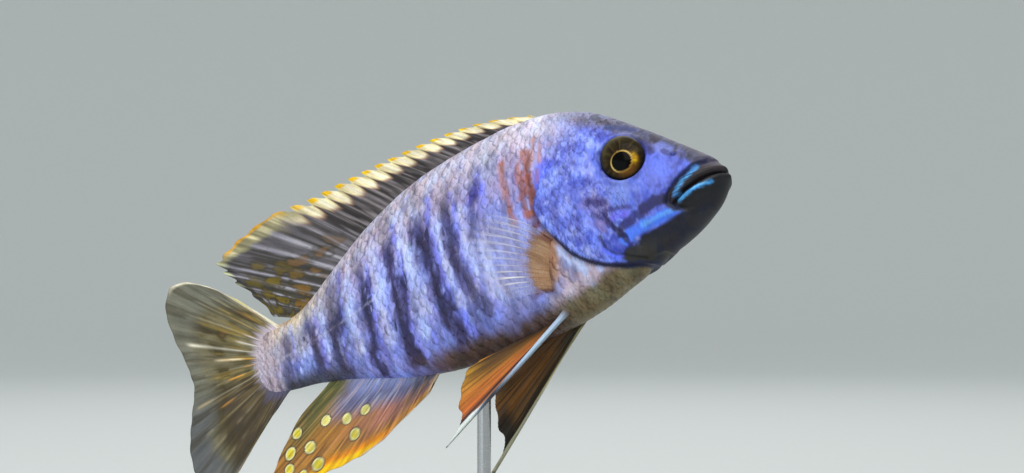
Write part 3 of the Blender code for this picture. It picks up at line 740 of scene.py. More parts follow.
    def flank(self, paint: np.ndarray, place: np.ndarray, rise: np.ndarray, clouds: np.ndarray,
              streaks: np.ndarray) -> None:
        """Paints the flank, back, belly and tail stalk, with painted light along the back and painted shade
        underneath.

        Args:
            paint: linear colours, one row for each place, changed where they stand.
            place: (station, side, height) rows.
            rise: shares of the way from the belly to the back.
            clouds: soft clouds, from 0 to 1.
            streaks: finer clouds, upright, from 0 to 1.
        """
        s = place[:, 0]
        stalk = ease(s + (clouds - 0.5) * 0.06, 0.78, 0.90)
        glaze(
            paint,
            ("#a7adea", ease(streaks, 0.45, 0.70) * 0.8),
            ("#7780c4", ease(rise, 0.42, 0.20) * 0.75),
            ("#838fea", ease(streaks, 0.55, 0.75) * ease(rise, 0.50, 0.25) * 0.7),
            # Paler towards the back: partly the back's own pale colour, partly painted light from above.
            ("#b0a5cc", ease(rise, 0.52, 0.66) * 0.7),
            ("#ddd8ee", ease(rise + (clouds - 0.5) * 0.25, 0.70, 0.90) * 0.95),
            ("#b0abba", ease(rise, 0.58, 0.76) * bump(s - 0.62, 0.14) * 0.45),
            ("#c4c0d4", ease(rise, 0.94, 1.0) * 0.6),
            ("#a19caa", stalk * ease(rise, 0.20, 0.5) * 0.92),
            ("#686c8e", stalk * ease(rise, 0.42, 0.12) * 0.85),
            ("#7b8ad0", stalk * bump(rise - 0.24, 0.13) * ease(streaks, 0.42, 0.56) * 0.75),
            ("#eae2d2", ease(s, 0.80, 0.92) * ease(rise, 0.60, 0.86) * 0.95),
            ("#c9a464", ease(s, 0.88, 0.94) * ease(rise, 0.84, 0.95) * ease(clouds, 0.50, 0.60) * 0.8),
        )
        for start, end, width in self.PALE:
            self.stroke(paint, place, Stroke("#c4cefe", (start, end), width, 0.88, 0.7, 1.3))
        hairs = self.flecks(place, (0.0048, 0.03, 0.026), 2)
        side = ease(rise, 0.10, 0.22) * ease(s, 1.0, 0.9)
        glaze(
            paint,
            ("#c6cdfb", side * ease(hairs, 0.60, 0.76) * 0.62),
            ("#5b568f", side * ease(hairs, 0.40, 0.26) * 0.50),
        )
        plain, self.ragged = self.ragged, (self.flecks(place, (0.0058, 0.03, 0.045), 3) - 0.5) * 2.0
        for line, width, strength in zip(BAR_LINES, BAR_WIDTHS, BAR_STRENGTHS):
            light = tuple((s_at - 1.3 * width, z_at) for s_at, z_at in line)
            top = ((line[0][0], line[0][1] + 0.040), line[0], line[1])
            for stroke in (
                Stroke("#868efc", light, width * 0.42, strength * 0.90, 0.6, 1.7),
                Stroke("#8785a4", top, width, strength * 0.50, 0.8, 1.0, fade=0.5),
                Stroke("#56528c", line, width * 1.10, strength * 0.95, 0.4, 1.5, fade=0.22),
                Stroke("#2c2848", line, width * 0.80, strength * 0.90, 0.5, 2.1, fade=0.30),
            ):
                self.stroke(paint, place, stroke)
        self.ragged = plain
        for line in (UPPER_LATERAL, LOWER_LATERAL):
            self.stroke(paint, place, Stroke("#d4d4ee", line, 0.0022, 0.34, 0.9, 2.4))
        chest = ease(s, 0.41, 0.33) * ease(rise, 0.38, 0.26)
        glaze(
            paint,
            ("#aca6c6", chest * 0.9),
            ("#d2c0c4", chest * ease(clouds, 0.48, 0.62) * 0.8),
            ("#a9abca", bump(s - 0.43, 0.05) * bump(rise - 0.22, 0.10) * 0.6),
            ("#b4c8f6", chest * ease(streaks, 0.52, 0.66) * ease(s, 0.31, 0.27) * 0.8),
        )
        for stroke in self.FLANK:
            self.stroke(paint, place, stroke)
        # The lowest part of the body: the brown and olive glazes are partly the belly's own colour, partly
        # painted shade of the underside.
        low = ease(rise + (clouds - 0.5) * 0.10, 0.120, 0.050)
        tail = ease(s + (streaks - 0.5) * 0.06, 0.952, 0.998)
        glaze(
            paint,
            ("#5c4427", low * ease(s, 0.72, 0.60) * 0.95),
            ("#7b6f4e", low * ease(s, 0.40, 0.31) * 0.95),
            # painted shade under the tail stalk
            ("#3c3d4a", ease(rise, 0.17, 0.05) * ease(s, 0.76, 0.86) * ease(s, 0.985, 0.955) * 0.85),
            ("#c9bccb", tail * 0.85),
            ("#8a84a6", tail * ease(streaks, 0.48, 0.34) * 0.5),
            ("#b08a6a", tail * ease(clouds, 0.57, 0.66) * ease(s, 1.00, 0.98) * 0.45),
        )
        uneven = 0.14 * ease(streaks, 0.52, 0.70) - 0.32 * ease(streaks, 0.50, 0.30) + 0.20 * (hairs - 0.5)
        paint *= (1 + uneven)[:, None]
        paint *= (1 + 0.30 * ease(rise, 0.22, 0.10) * ease(s, 0.58, 0.66) * ease(s, 0.86, 0.80))[:, None]
        vivid = ease(rise, 0.80, 0.60) * ease(s, 0.82, 0.68)
        paint *= 1 + vivid[:, None] * (np.array((1.0, 1.03, 1.16)) - 1)

    def head(self, paint: np.ndarray, place: np.ndarray, ahead: np.ndarray, clouds: np.ndarray) -> None:
        """Paints the head, jaws and throat, with painted shade in the creases of the mouth, in the pores and
        under the chin.

        Args:
            paint: linear colours, one row for each place, changed where they stand.
            place: (station, side, height) rows.
            ahead: 1 ahead of the gill opening, 0 behind it and between where the two blend.
            clouds: soft clouds, from 0 to 1.
        """
        s, z = place[:, 0], place[:, 2]
        depth = self.form.back(s) - z
        patches = self.edges(place, (0.020, 0.03, 0.020), 3)
        veins = bump(self.flecks(place, (0.024, 0.04, 0.028), 2) - 0.5, 0.028)
        own = np.tile(linear("#5d70e0"), (len(place), 1))
        flecks = self.clouds(place, (0.0062, 0.03, 0.0100), 3)
        creases = bump(self.edges(place, (0.0115, 0.03, 0.0125), 2) - 0.5, 0.026)
        # Paler high on the rear of the head: partly its own pale colour, partly painted light from above, as
        # on the back.
        high = ease(s, 0.21, 0.30) * ease(depth + (clouds - 0.5) * 0.05, 0.110, 0.040)
        nape = ease(depth + (patches - 0.5) * 0.024, 0.050, 0.022)
        snout = ease(s + (clouds - 0.5) * 0.03 + 0.8 * (z - 0.02), 0.088, 0.050)
        bridge = ease(depth + (patches - 0.5) * 0.03 + (flecks - 0.5) * 0.02, 0.044, 0.018)
        bridge = bridge * ease(s, 0.15, 0.10)
        glaze(
            own,
            ("#7d92fc", ease(s + (clouds - 0.5) * 0.05, 0.195, 0.250) * 0.9),
            ("#a0b3ff", ease(patches, 0.53, 0.66) * 0.55 * ease(s, 0.10, 0.24)),
            ("#b9c6ff", ease(flecks, 0.57, 0.70) * 0.48 * ease(s, 0.10, 0.24)),
            ("#3d46ac", ease(flecks, 0.43, 0.30) * 0.65),
            ("#424fc2", ease(patches, 0.47, 0.34) * 0.75),
            ("#333d9c", veins * (0.74 + 0.5 * (clouds - 0.5))),
            ("#2c3184", creases * ease(patches + 0.3 * (clouds - 0.5), 0.58, 0.44) * 0.72),
            ("#b4b2dc", high * 0.9),
            ("#8a8aa6", nape * ease(s, 0.10, 0.20) * 0.9),
            ("#4a4860", nape * ease(s, 0.24, 0.15) * 0.95),
            ("#34334a", nape * ease(flecks, 0.52, 0.40) * ease(s, 0.29, 0.20) * 0.8),
            ("#6d7296", nape * ease(flecks, 0.54, 0.64) * ease(s, 0.29, 0.20) * 0.6),
            ("#403f58", bridge * 0.95),
            ("#646a8e", bridge * ease(flecks, 0.55, 0.64) * 0.5),
            ("#2a2838", bridge * ease(flecks, 0.46, 0.36) * 0.6),
            ("#453f50", snout * ease(s, 0.056, 0.032) * 0.9),
        )
        for stroke in self.HEAD:
            self.stroke(own, place, stroke)
        below, _ = self.jaw.measure(s, z)
        chin = ease(below + (patches - 0.5) * 0.012, 0.003, -0.004)
        throat = chin * ease(s + (clouds - 0.5) * 0.06, 0.15, 0.22) * ease(z, -0.112, -0.128)
        mouth, share = self.mouth.measure(s, z)
        lips = (share < 0.999) & (s < 0.104)
        wrinkles = self.flecks(place, (0.030, 0.05, 0.0035), 2)
        # The chin and throat are dark in their own colour, and darkened further with painted shade of the
        # underside.
        glaze(
            own,
            ("#121318", chin * 0.97),
            ("#25262b", chin * ease(patches, 0.46, 0.62) * 0.7),
            ("#35342c", chin * ease(clouds, 0.42, 0.60) * ease(z, -0.070, -0.110) * 0.7),
            ("#4a452f", throat),
            ("#2c242a", lips * ease(mouth, 0.0235, 0.0185) * ease(mouth, -0.001, 0.001)),
            ("#17181d", lips * ease(mouth, -0.038, -0.030) * ease(mouth, 0.001, -0.001)),
            ("#565060", lips * bump(mouth - 0.0225, 0.0030) * ease(s, 0.050, 0.020) * 0.6),
        )
        for stroke in self.MOUTH:
            self.stroke(own, place, stroke)
        glaze(
            own,
            ("#15131a", lips * ease(wrinkles, 0.50, 0.32) * ease(np.abs(mouth), 0.026, 0.020) * 0.7),
            # painted shade in the crease between the lips
            ("#0c0b0d", lips * bump(mouth, 0.0022)),
            ("#17181d", lips * ease(place[:, 1], 0.010, 0.018) * ease(s, 0.050, 0.038)),
        )
        paint += (own - paint) * ahead[:, None]


@dataclass
class BodyForm:
    """The form of the skin: the solids' rings, with the lips, gill covers and eye sockets in relief.

    Lengths are stations, and names in mm are millimetres.
    """

    fine_stations: int = 215
    plain_stations: int = 125
    fine_to: float = 0.36
    last: float = 1.034
    tail_from: float = 0.985  # where the stalk starts to close
    turns: int = 256
    snout_round: float = 0.016
    snout_rings: int = 12
    inset_mm: float = 0.20  # room for the scales
    cloud_mm: float = 0.22
    snout_inset_mm: float = 0.75
    lip_crease_mm: float = 0.80
    socket_mm: float = 2.4
    cover_lift_mm: float = 0.78
    cover_low_mm: float = 0.30
    back_point: float = 1.14
    belly_point: float = 0.94

    # Folds along lines: the line, how far to its left, height in millimetres and half width.
    FOLDS = (
        (LIP_FOLD, 0.0, -0.50, 0.0042), (LIP_FOLD, 0.011, 0.20, 0.0080), (CHEEK_BONE, 0.0, -0.30, 0.0030),
        (CHEEK_BONE, -0.007, 0.20, 0.0060), (CHEEK_STRIPE, 0.0, 0.25, 0.0085),
        (UPPER_LATERAL, 0.0, 0.08, 0.0035), (LOWER_LATERAL, 0.0, 0.08, 0.0035),
    )
    LIP_MM = ((0.0, 0.25), (0.35, 0.55), (0.70, 0.75), (0.90, 0.50), (1.0, 0.20))  # by shares of the mouth

    def __post_init__(self) -> None:
        """Works out the table of points and normals that the skin and the scales share."""
        self.back, self.belly = Curve(BACK_LINE), Curve(BELLY_LINE)
        self.half_width, self.level = Curve(HALF_WIDTH), Curve(WIDEST_LEVEL)
        nose = self.snout_round * (1 - np.cos(np.linspace(0, math.pi / 2, self.snout_rings + 1)))
        fine = np.linspace(self.snout_round, self.fine_to, self.fine_stations)
        plain = np.linspace(self.fine_to, self.last, self.plain_stations)
        self.station = np.concatenate([nose[:-1], fine[:-1], plain])
        s, t = np.meshgrid(self.station, np.arange(self.turns) * 2 * math.pi / self.turns, indexing="ij")
        base = self.ring(s, t)
        flat = level_mm(base)
        height = self.relief(base.reshape(-1, 3), t.ravel()).reshape(s.shape)
        self.points = flat + self.normals(flat) * height[..., None]
        self.normal = self.normals(self.points)
        steps = np.linalg.norm(np.diff(flat, axis=1), axis=2)
        quarter = self.turns // 4
        up = np.concatenate([np.zeros((len(s), 1)), np.cumsum(steps[:, :quarter], axis=1)], axis=1)
        back = np.linalg.norm(flat - np.roll(flat, 1, axis=1), axis=2)[:, ::-1]
        down = np.cumsum(np.roll(back, 1, axis=1)[:, :quarter], axis=1)
        down = np.concatenate([np.zeros((len(s), 1)), down], axis=1)
        self.arc = np.concatenate([-down[:, :0:-1], up], axis=1)
        self.arc_turn = np.arange(-quarter, quarter + 1) * 2 * math.pi / self.turns

    def ring(self, s: np.ndarray, t: np.ndarray) -> np.ndarray:
        """Gives the places of the plain body.

        Args:
            s: stations.
            t: turns, from the left flank over the back.

        Returns:
            (station, side, height) rows.
        """
        upper = np.sin(t) >= 0
        power = np.where(upper, self.back_point, self.belly_point)
        edge = np.where(upper, self.back(s), self.belly(s))
        level = self.level(s)
        side = self.half_width(s) * np.sign(np.cos(t)) * np.abs(np.cos(t)) ** power
        height = (edge - level) * np.abs(np.sin(t)) ** power
        short = np.clip(1 - s / self.snout_round, 0, 1)
        long = np.clip((s - self.tail_from) / (self.last - self.tail_from), 0, 1)
        end = np.sqrt(1.0001 - long ** 2)
        closing = np.sqrt(1 - short ** 2) * end
        return np.stack([s, side * closing * end, level + height * closing], axis=-1)

    @staticmethod
    def normals(points: np.ndarray) -> np.ndarray:
        """Works out outward unit normals.

        Args:
            points: a table of points in level millimetres, by stations and turns.

        Returns:
            A table of their normals.
        """
        rear = np.gradient(points, axis=0)
        round_ = np.roll(points, -1, axis=1) - np.roll(points, 1, axis=1)
        normal = np.cross(rear, round_)
        length = np.linalg.norm(normal, axis=2, keepdims=True)
        normal = normal / np.maximum(length, 1e-9)
        normal[0] = (1.0, 0.0, 0.0)
        return normal

    def relief(self, place: np.ndarray, t: np.ndarray) -> np.ndarray:
        """Gives how far the skin stands out of the plain body.

        Args:
            place: (station, side, height) rows of the plain body.
            t: their turns.

        Returns:
            Heights in millimetres.
        """
        s, z = place[:, 0], place[:, 2]
        height = -self.inset_mm * ease(s, 0.08, 0.20) - self.snout_inset_mm * ease(s, 0.045, 0.0)
        height += (Grain(3)(place, (0.05, 0.05, 0.05), 2) - 0.5) * self.cloud_mm
        mouth, share = DrawnLine(MOUTH_LINE).measure(s, z)
        near = ease(s, 0.118, 0.098)
        wide = 0.0085 - 0.0035 * share ** 2
        height += near * Curve(self.LIP_MM)(share) * (
            bump(mouth - 0.0105 + 0.004 * share, wide) + bump(mouth + 0.0110 - 0.004 * share, wide))
        height -= near * self.lip_crease_mm * bump(mouth, 0.0024)
        ahead, up = s - EYE_CENTRE[0], z - EYE_CENTRE[1]
        eye = np.hypot(ahead * math.cos(EYE_SLANT) - up * math.sin(EYE_SLANT),
                       (ahead * math.sin(EYE_SLANT) + up * math.cos(EYE_SLANT)) / (EYE_TALL - 0.02))
        height -= self.socket_mm * (1 - ease(eye, 0.0310, 0.0412))
        height += 0.24 * bump(eye - 0.0436, 0.0030) - 0.10 * bump(eye - 0.0530, 0.0045)
        nostril = np.hypot(s - NOSTRIL[0], (z - NOSTRIL[1]) * 1.3)
        height += 0.22 * bump(nostril - 0.0075, 0.0030) - 0.75 * bump(nostril, 0.0046)
        for pore in PORES:
            height -= 0.42 * bump(np.hypot(s - pore[0], z - pore[1]), 0.0040)
        for line, left, high, half in self.FOLDS:
            height += high * bump(DrawnLine(line).measure(s, z)[0] - left, half)
        margin, _ = DrawnLine(GILL_MARGIN).measure(s, z)
        lift = self.cover_lift_mm * ease(s, 0.20, 0.29) * np.abs(np.cos(t)) * (1 - ease(z, 0.07, 0.13))
        low = self.cover_low_mm * ease(z, -0.060, -0.100) * ease(margin, -0.030, -0.002)
        height += np.maximum(lift, low) * ease(margin, 0.0022, -0.0016)
        return height - 0.42 * ease(z, 0.14, 0.11) * bump(margin - 0.0045, 0.0035)

    def at(self, s: np.ndarray, t: np.ndarray) -> tuple[np.ndarray, np.ndarray]:
        """Reads the skin's table between its entries.

        Args:
            s: stations.
            t: turns.

        Returns:
            The points in level millimetres, and the normals there.
        """
        i = np.interp(s, self.station, np.arange(len(self.station)))
        low = np.clip(i.astype(int), 0, len(self.station) - 2)
        a = (i - low)[..., None]
        j = np.asarray(t) / (2 * math.pi) * self.turns
        first = np.floor(j).astype(int)
        b = (j - first)[..., None]
        first, second = first % self.turns, (first + 1) % self.turns
        read = []
        for table in (self.points, self.normal):
            front = table[low, first] * (1 - b) + table[low, second] * b
            rear = table[low + 1, first] * (1 - b) + table[low + 1, second] * b
            read.append(front * (1 - a) + rear * a)
        normal = read[1] / np.maximum(np.linalg.norm(read[1], axis=-1, keepdims=True), 1e-9)
        return read[0], normal


@dataclass
class Skin:
    """One closed skin from the snout to the root of the tail."""

    form: BodyForm
    markings: Markings

    def build(self) -> bpy.types.Object:
        """Makes the skin's mesh, closes its seam and paints it."""
        form = self.form
        rows, turns = len(form.station), form.turns

        def shape(u: np.ndarray, v: np.ndarray) -> np.ndarray:
            """Moves the grid's corners to the table's points."""
            i = np.rint(u * (rows - 1)).astype(int)
            j = np.rint(v * turns).astype(int) % turns
            return FishPose.turned(form.points[i, j])

        mesh = grid_mesh("body_skin", rows - 1, turns, shape)
        bm = bmesh.new()
        bm.from_mesh(mesh)
        bmesh.ops.remove_doubles(bm, verts=bm.verts, dist=0.000004)
        ends = [edge for edge in bm.edges if edge.is_boundary]
        bmesh.ops.holes_fill(bm, edges=ends)
        bmesh.ops.poke(bm, faces=[face for face in bm.faces if len(face.verts) > 4])
        bmesh.ops.recalc_face_normals(bm, faces=bm.faces)
        bm.to_mesh(mesh)
        bm.free()
        store_paint(mesh, self.markings.colours(as_place(FishPose.levelled(corners_of(mesh)))))
        return new_piece("body_skin", mesh)


@dataclass
class ScaleField:
    """One area of scales in staggered rows. Sizes are in millimetres."""

    name: str
    start: float  # stations
    end: float
    pitch: tuple  # along the fish, as keys at stations
    row: tuple  # up the fish
    inside: Callable[[np.ndarray, np.ndarray], np.ndarray]
    length: float = 1.60  # in pitches
    width: float = 1.85  # in rows
    lift_mm: float = 0.029
    thick_mm: float = 0.010
    rim_shade: float = 0.02
    tint: float = 0.045
    seed: int = 5
    slot: str = "flank_skin"


class ScaleCoat:
    """Overlapping scales over the skin: thin solid plates, rooted in it and lying towards the tail."""

    ROOT = 0.30  # the share of a scale ahead of its root
    SUNK_MM = 0.10  # how deep its front edge lies under the skin
    CROWN_MM = 0.012  # how high its middle stands over its sides
    SIZE_SPREAD, LIE_SPREAD, LIFT_SPREAD, HUE_SPREAD = 0.04, 0.05, 0.08, 0.022
    NUDGE = 1e-3  # a small step in stations or turns
    ENDS = (0.01, 1.032)  # the stations between which scales lie
    PATCH = 0.003  # a scale's patch on the map

    def __init__(self, form: BodyForm, markings: Markings, grid: int = 4) -> None:
        """Keeps the form and makes the shape that every scale has."""
        self.form = form
        self.markings = markings
        self.corners, self.faces = self.plate(grid)
        tops = self.corners[self.faces, 2]
        self.rim = tops.min(axis=1) != tops.max(axis=1)

    @staticmethod
    def plate(grid: int) -> tuple[np.ndarray, np.ndarray]:
        """Makes one round plate of unit size.

        Args:
            grid: how many faces it has each way.

        Returns:
            Its corners, as (front to rear, across, 1 on top or 0 below), and its faces' corner numbers.
        """
        bm = bmesh.new()
        bmesh.ops.create_grid(bm, x_segments=grid, y_segments=grid, size=1.0)
        bmesh.ops.solidify(bm, geom=bm.faces[:], thickness=1.0)
        bmesh.ops.recalc_face_normals(bm, faces=bm.faces)
        corners = np.array([vert.co for vert in bm.verts])
        faces = np.array([[vert.index for vert in face.verts] for face in bm.faces])
        bm.free()
        top = (corners[:, 2] > (corners[:, 2].max() + corners[:, 2].min()) / 2).astype(float)
        x, y = np.clip(corners[:, 0], -1, 1), np.clip(corners[:, 1], -1, 1)
        round_x = x * np.sqrt(1 - y ** 2 / 2)
        round_y = y * np.sqrt(1 - x ** 2 / 2)
        return np.stack([(round_x + 1) / 2, round_y / 2, top], axis=1), faces

    def roots(self, area: ScaleField) -> tuple[np.ndarray, ...]:
        """Finds where a field's scales grow.

        Args:
            area: the field.

        Returns:
            Stations, turns, pitches and row heights, one of each for each scale, on both sides.
        """
        pitch, row = Curve(area.pitch), Curve(area.row)
        found = []
        s = area.start
        while s < area.end:
            step = float(pitch(s)) / PLACE_MM
            high = float(row(s))
            i = int(np.clip(np.searchsorted(self.form.station, s), 0, len(self.form.station) - 1))
            arcs = self.form.arc[i]
            for odd in (0, 1):
                here = s + odd * step / 2
                count = int(max(abs(arcs[0]), arcs[-1]) / high) + 2
                rows = np.arange(-count - count % 2 + odd, count, 2) * high
                rows = rows[(rows > arcs[0] + 0.2 * high) & (rows < arcs[-1] - 0.2 * high)]
                turn = np.interp(rows, arcs, self.form.arc_turn)
                found.append(np.stack(np.broadcast_arrays(here, turn, step * PLACE_MM, high), axis=1))
            s += step
        left = np.concatenate(found)
        points, _ = self.form.at(left[:, 0], left[:, 1])
        place = as_place(points)
        left = left[area.inside(place[:, 0], place[:, 2])]
        right = left.copy()
        right[:, 1] = math.pi - right[:, 1]
        both = np.concatenate([left, right])
        return both[:, 0], both[:, 1], both[:, 2], both[:, 3]

    def build(self, area: ScaleField) -> bpy.types.Object:
        """Makes one field of scales as one joined mesh.

        Args:
            area: the field.

        Returns:
            The painted piece.
        """
        s, t, pitch, row = self.roots(area)
        rng = np.random.default_rng(area.seed)
        count = len(s)
        size = rng.normal(1.0, self.SIZE_SPREAD, count)[:, None]
        lie = rng.normal(0.0, self.LIE_SPREAD, count)[:, None]
        lift = rng.normal(1.0, self.LIFT_SPREAD, count)[:, None]
        hue = rng.normal(1.0, self.HUE_SPREAD, (count, 1, 3))
        tint = rng.normal(1.0, area.tint, count)[:, None]
        x, y, top = (self.corners[:, k][None, :] for k in range(3))
        ahead = (x - self.ROOT) * area.length * pitch[:, None] * size
        across = y * area.width * row[:, None] * size
        rear, round_ = ahead - lie * across, across + lie * ahead
        here, _ = self.form.at(s, t)
        per_station = np.linalg.norm(self.form.at(s + self.NUDGE, t)[0] - here, axis=1) / self.NUDGE
        per_turn = np.linalg.norm(self.form.at(s, t + self.NUDGE)[0] - here, axis=1) / self.NUDGE
        stations = np.clip(s[:, None] + rear / np.maximum(per_station, 60)[:, None], *self.ENDS)
        turns = t[:, None] + round_ / np.maximum(per_turn, 1.0)[:, None]
        points, normals = self.form.at(stations, turns)
        rise = -self.SUNK_MM + (area.lift_mm + self.SUNK_MM) * ease(x, 0.0, 1.05) * lift
        rise = rise + self.CROWN_MM * (1 - 4 * y ** 2) * ease(x, 0.2, 0.6) + (top - 1) * area.thick_mm
        points = points + normals * rise[..., None]
        mesh = self.joined(area.name, points.reshape(-1, 3), count)
        paint = self.markings.colours(as_place(points.reshape(-1, 3)))
        # Each scale's paint darkens towards its rear edge and its sides: painted shade round its rim.
        rim = 1 - area.rim_shade * ease(x, 0.84, 1.0) - 0.03 * ease(np.abs(y), 0.34, 0.5)
        store_paint(mesh, paint * ((tint * rim)[..., None] * hue).reshape(-1, 3))
        self.bake_map(mesh, s, t)
        piece = new_piece(area.name, mesh)
        mesh.polygons.foreach_set("use_smooth", ~np.tile(self.rim, count))
        return piece

    def joined(self, name: str, points: np.ndarray, count: int) -> bpy.types.Mesh:
        """Joins many plates of one shape into a mesh.

        Args:
            name: the mesh's name.
            points: the corners of all plates in level millimetres, plate by plate.
            count: how many plates there are.

        Returns:
            The mesh.
        """
        per = len(self.corners)
        faces = (self.faces[None] + (np.arange(count) * per)[:, None, None]).reshape(-1, 4)
        mesh = bpy.data.meshes.new(name)
        mesh.vertices.add(len(points))
        mesh.vertices.foreach_set("co", FishPose.turned(points).ravel())
        mesh.loops.add(faces.size)
        mesh.loops.foreach_set("vertex_index", faces.ravel())
        mesh.polygons.add(len(faces))
        mesh.polygons.foreach_set("loop_start", np.arange(len(faces)) * 4)
        mesh.update(calc_edges=True)
        mesh.validate()
        return mesh

    def bake_map(self, mesh: bpy.types.Mesh, s: np.ndarray, t: np.ndarray) -> None:
        """Gives each scale a small patch of the map, at its root's place on an unwrap of the skin.

        Args:
            mesh: the joined scales.
            s: the stations of their roots.
            t: the turns of their roots.
        """
        root = np.stack([s / 1.1, (t / (2 * math.pi)) % 1.0], axis=1)
        local = np.stack([self.corners[:, 0] - 0.5, self.corners[:, 1]], axis=1) * self.PATCH
        spots = (root[:, None, :] * 0.98 + 0.01 + local[None]).reshape(-1, 2)
        layer = mesh.uv_layers.new(name=BAKE_MAP)
        corner = np.zeros(len(mesh.loops), dtype=np.int32)
        mesh.loops.foreach_get("vertex_index", corner)
        layer.data.foreach_set("uv", spots[corner].ravel())


@dataclass
class FinPoint:
    """Where a fin's corners lie, as arrays."""

    along: np.ndarray  # from 0 at the first ray to 1 at the last
    out: np.ndarray  # from 0 at the root to 1 at the margin
    ray: np.ndarray  # the number of the nearest ray
    off: np.ndarray  # how far behind it, in gaps
    gap: np.ndarray  # how far into the gap between two rays, from 0 to 1
    place: np.ndarray  # (station, side, height) rows


@dataclass
class Fin:
    """One fin: a thin web with rays raised on both faces. Thicknesses are in millimetres."""

    name: str
    rays: int
    spines: int
    root: Callable[[np.ndarray], np.ndarray]
    tips: tuple
    slot: str
    nodes: tuple
    notch: float = 0.05  # how deep the margin is cut between rays, as a share of their length
    side: Side = Side.LEFT  # stays for an unpaired fin
    bow: float = 0.0  # how far the rays bend forward
    stretch: float = 1.0
    fold: float = 0.0  # how far the fin is swung back
    columns: int = 12  # faces between two rays
    rows: int = 40
    gather: float = 0.10  # how much closer faces lie beside the rays
    root_mm: float = 1.5
    spine_mm: float = 0.62
    soft_mm: float = 0.46
    web_mm: float = 0.17
    sheath: float = 0.16  # the share of a ray under its thick skin
    wave_mm: float = 0.10
    branch: float = 0.15  # how far the branches of a ray spread, in gaps
    taper: float = 0.62
    spine_width: float = 0.085
    soft_width: float = 0.075
    clear: bool = False
    fibre: float = 0.50  # how strongly fine fibres lighten and darken the web
    seed: int = 21

    def margin(self, gap: np.ndarray, along: np.ndarray) -> np.ndarray:
        """How far the web draws back from the margin between two rays, as a share of its reach."""
        return self.notch * np.sin(math.pi * gap) ** 2

    def point(self, u: np.ndarray, v: np.ndarray) -> FinPoint:
        """Finds where the grid's corners lie.

        Args:
            u: shares along the fin.
            v: shares from root to margin.

        Returns:
            The corners' places and how they lie between the rays.
        """
        steps = np.rint(u * (self.rays - 1) * self.columns)
        number = np.minimum(steps // self.columns, self.rays - 2)
        share = steps / self.columns - number
        gap = share - self.gather * np.sin(2 * math.pi * share)
        along = (number + gap) / (self.rays - 1)
        out = v ** 0.92
        reach = out * (1 - out ** 3 * self.margin(gap, along))
        start, end = self.root(along), Curve(self.tips)(along)
        swing = np.array(Matrix.Rotation(-self.fold, 3, "Z")) * self.stretch
        place = start + (end - start) @ swing.T * reach[:, None]
        place[:, 0] -= self.bow * np.sin(math.pi * reach)
        ray = number + (gap > 0.5)
        off = gap - (gap > 0.5)
        bend = self.wave_mm / PLACE_MM * np.sin(math.pi * gap) * ease(out, 0.1, 0.5)
        place[:, 1] += bend * np.cos(2.4 * number)
        place[:, 1] *= self.side.value
        return FinPoint(along, reach, ray, off, gap, place)

    def thickness(self, point: FinPoint) -> np.ndarray:
        """Gives the fin's thickness.

        Args:
            point: where the fin's corners lie.

        Returns:
            Millimetres, one for each corner.
        """
        spine = point.ray < self.spines
        spread = self.branch * ease(point.out, 0.42, 0.92) * ~spine
        fine = 0.5 * self.branch * ease(point.out, 0.72, 1.0) * ~spine
        width = np.where(spine, self.spine_width, self.soft_width) * (1 - 0.35 * ease(point.out, 0.4, 0.9))
        ridge = np.zeros_like(point.out)
        for first in (-1, 1):
            for second in (-1, 1):
                ridge = np.maximum(ridge, bump(point.off - first * spread - second * fine, width))
        thick = np.where(spine, self.spine_mm, self.soft_mm) * (1 - self.taper * point.out)
        web = self.web_mm * (1 - 0.25 * point.out)
        plain = web + np.maximum(thick - web, 0) * ridge
        return plain + (self.root_mm - plain) * (1 - ease(point.out, 0.0, self.sheath))

    def paint(self, point: FinPoint) -> tuple[np.ndarray, np.ndarray]:
        """Paints the fin. Each kind of fin has its own.

        Args:
            point: where the fin's corners lie.

        Returns:
            Linear colours, one row for each corner, and how solid each is.
        """
        raise NotImplementedError

    def streaks(self, point: FinPoint, across: float, along: float, seed: int = 0) -> np.ndarray:
        """Gives clouds drawn out along the rays.

        Args:
            point: where the fin's corners lie.
            across: the size of a cloud in gaps.
            along: its size as a share of the rays.
            seed: tells clouds of one fin apart.

        Returns:
            Values from about 0 to 1.
        """
        where = np.stack([point.along * (self.rays - 1), point.out, np.zeros_like(point.out)], axis=1)
        return Grain(self.seed + seed)(where, (across, along, 1.0), 3)

    def build(self) -> bpy.types.Object:
        """Makes, thickens and paints the fin."""
        across = (self.rays - 1) * self.columns
        held = {}

        def shape(u: np.ndarray, v: np.ndarray) -> np.ndarray:
            """Moves the grid's corners onto the fin."""
            held["point"] = self.point(u, v)
            return FishPose.turned(level_mm(held["point"].place))

        mesh = grid_mesh(self.name, across, self.rows, shape)
        point = held["point"]
        colours, alpha = self.paint(point)
        fibres = self.fibre * (self.streaks(point, 0.16, 0.30, 7) - 0.5) * 2
        store_paint(mesh, colours * (1 + fibres)[:, None], alpha)
        piece = new_piece(self.name, mesh)
        group = piece.vertex_groups.new(name="thickness")
        weights = self.thickness(point) / self.root_mm
        for index, weight in enumerate(weights):
            group.add([index], float(weight), "REPLACE")
        solid = piece.modifiers.new("thickness", "SOLIDIFY")
        solid.thickness = self.root_mm * MM
        solid.offset = 0.0
        solid.vertex_group = group.name
        graph = bpy.context.evaluated_depsgraph_get()
        thick = bpy.data.meshes.new_from_object(piece.evaluated_get(graph))
        piece.modifiers.clear()
        piece.vertex_groups.clear()
        piece.data = thick
        thick.name = self.name
        return piece


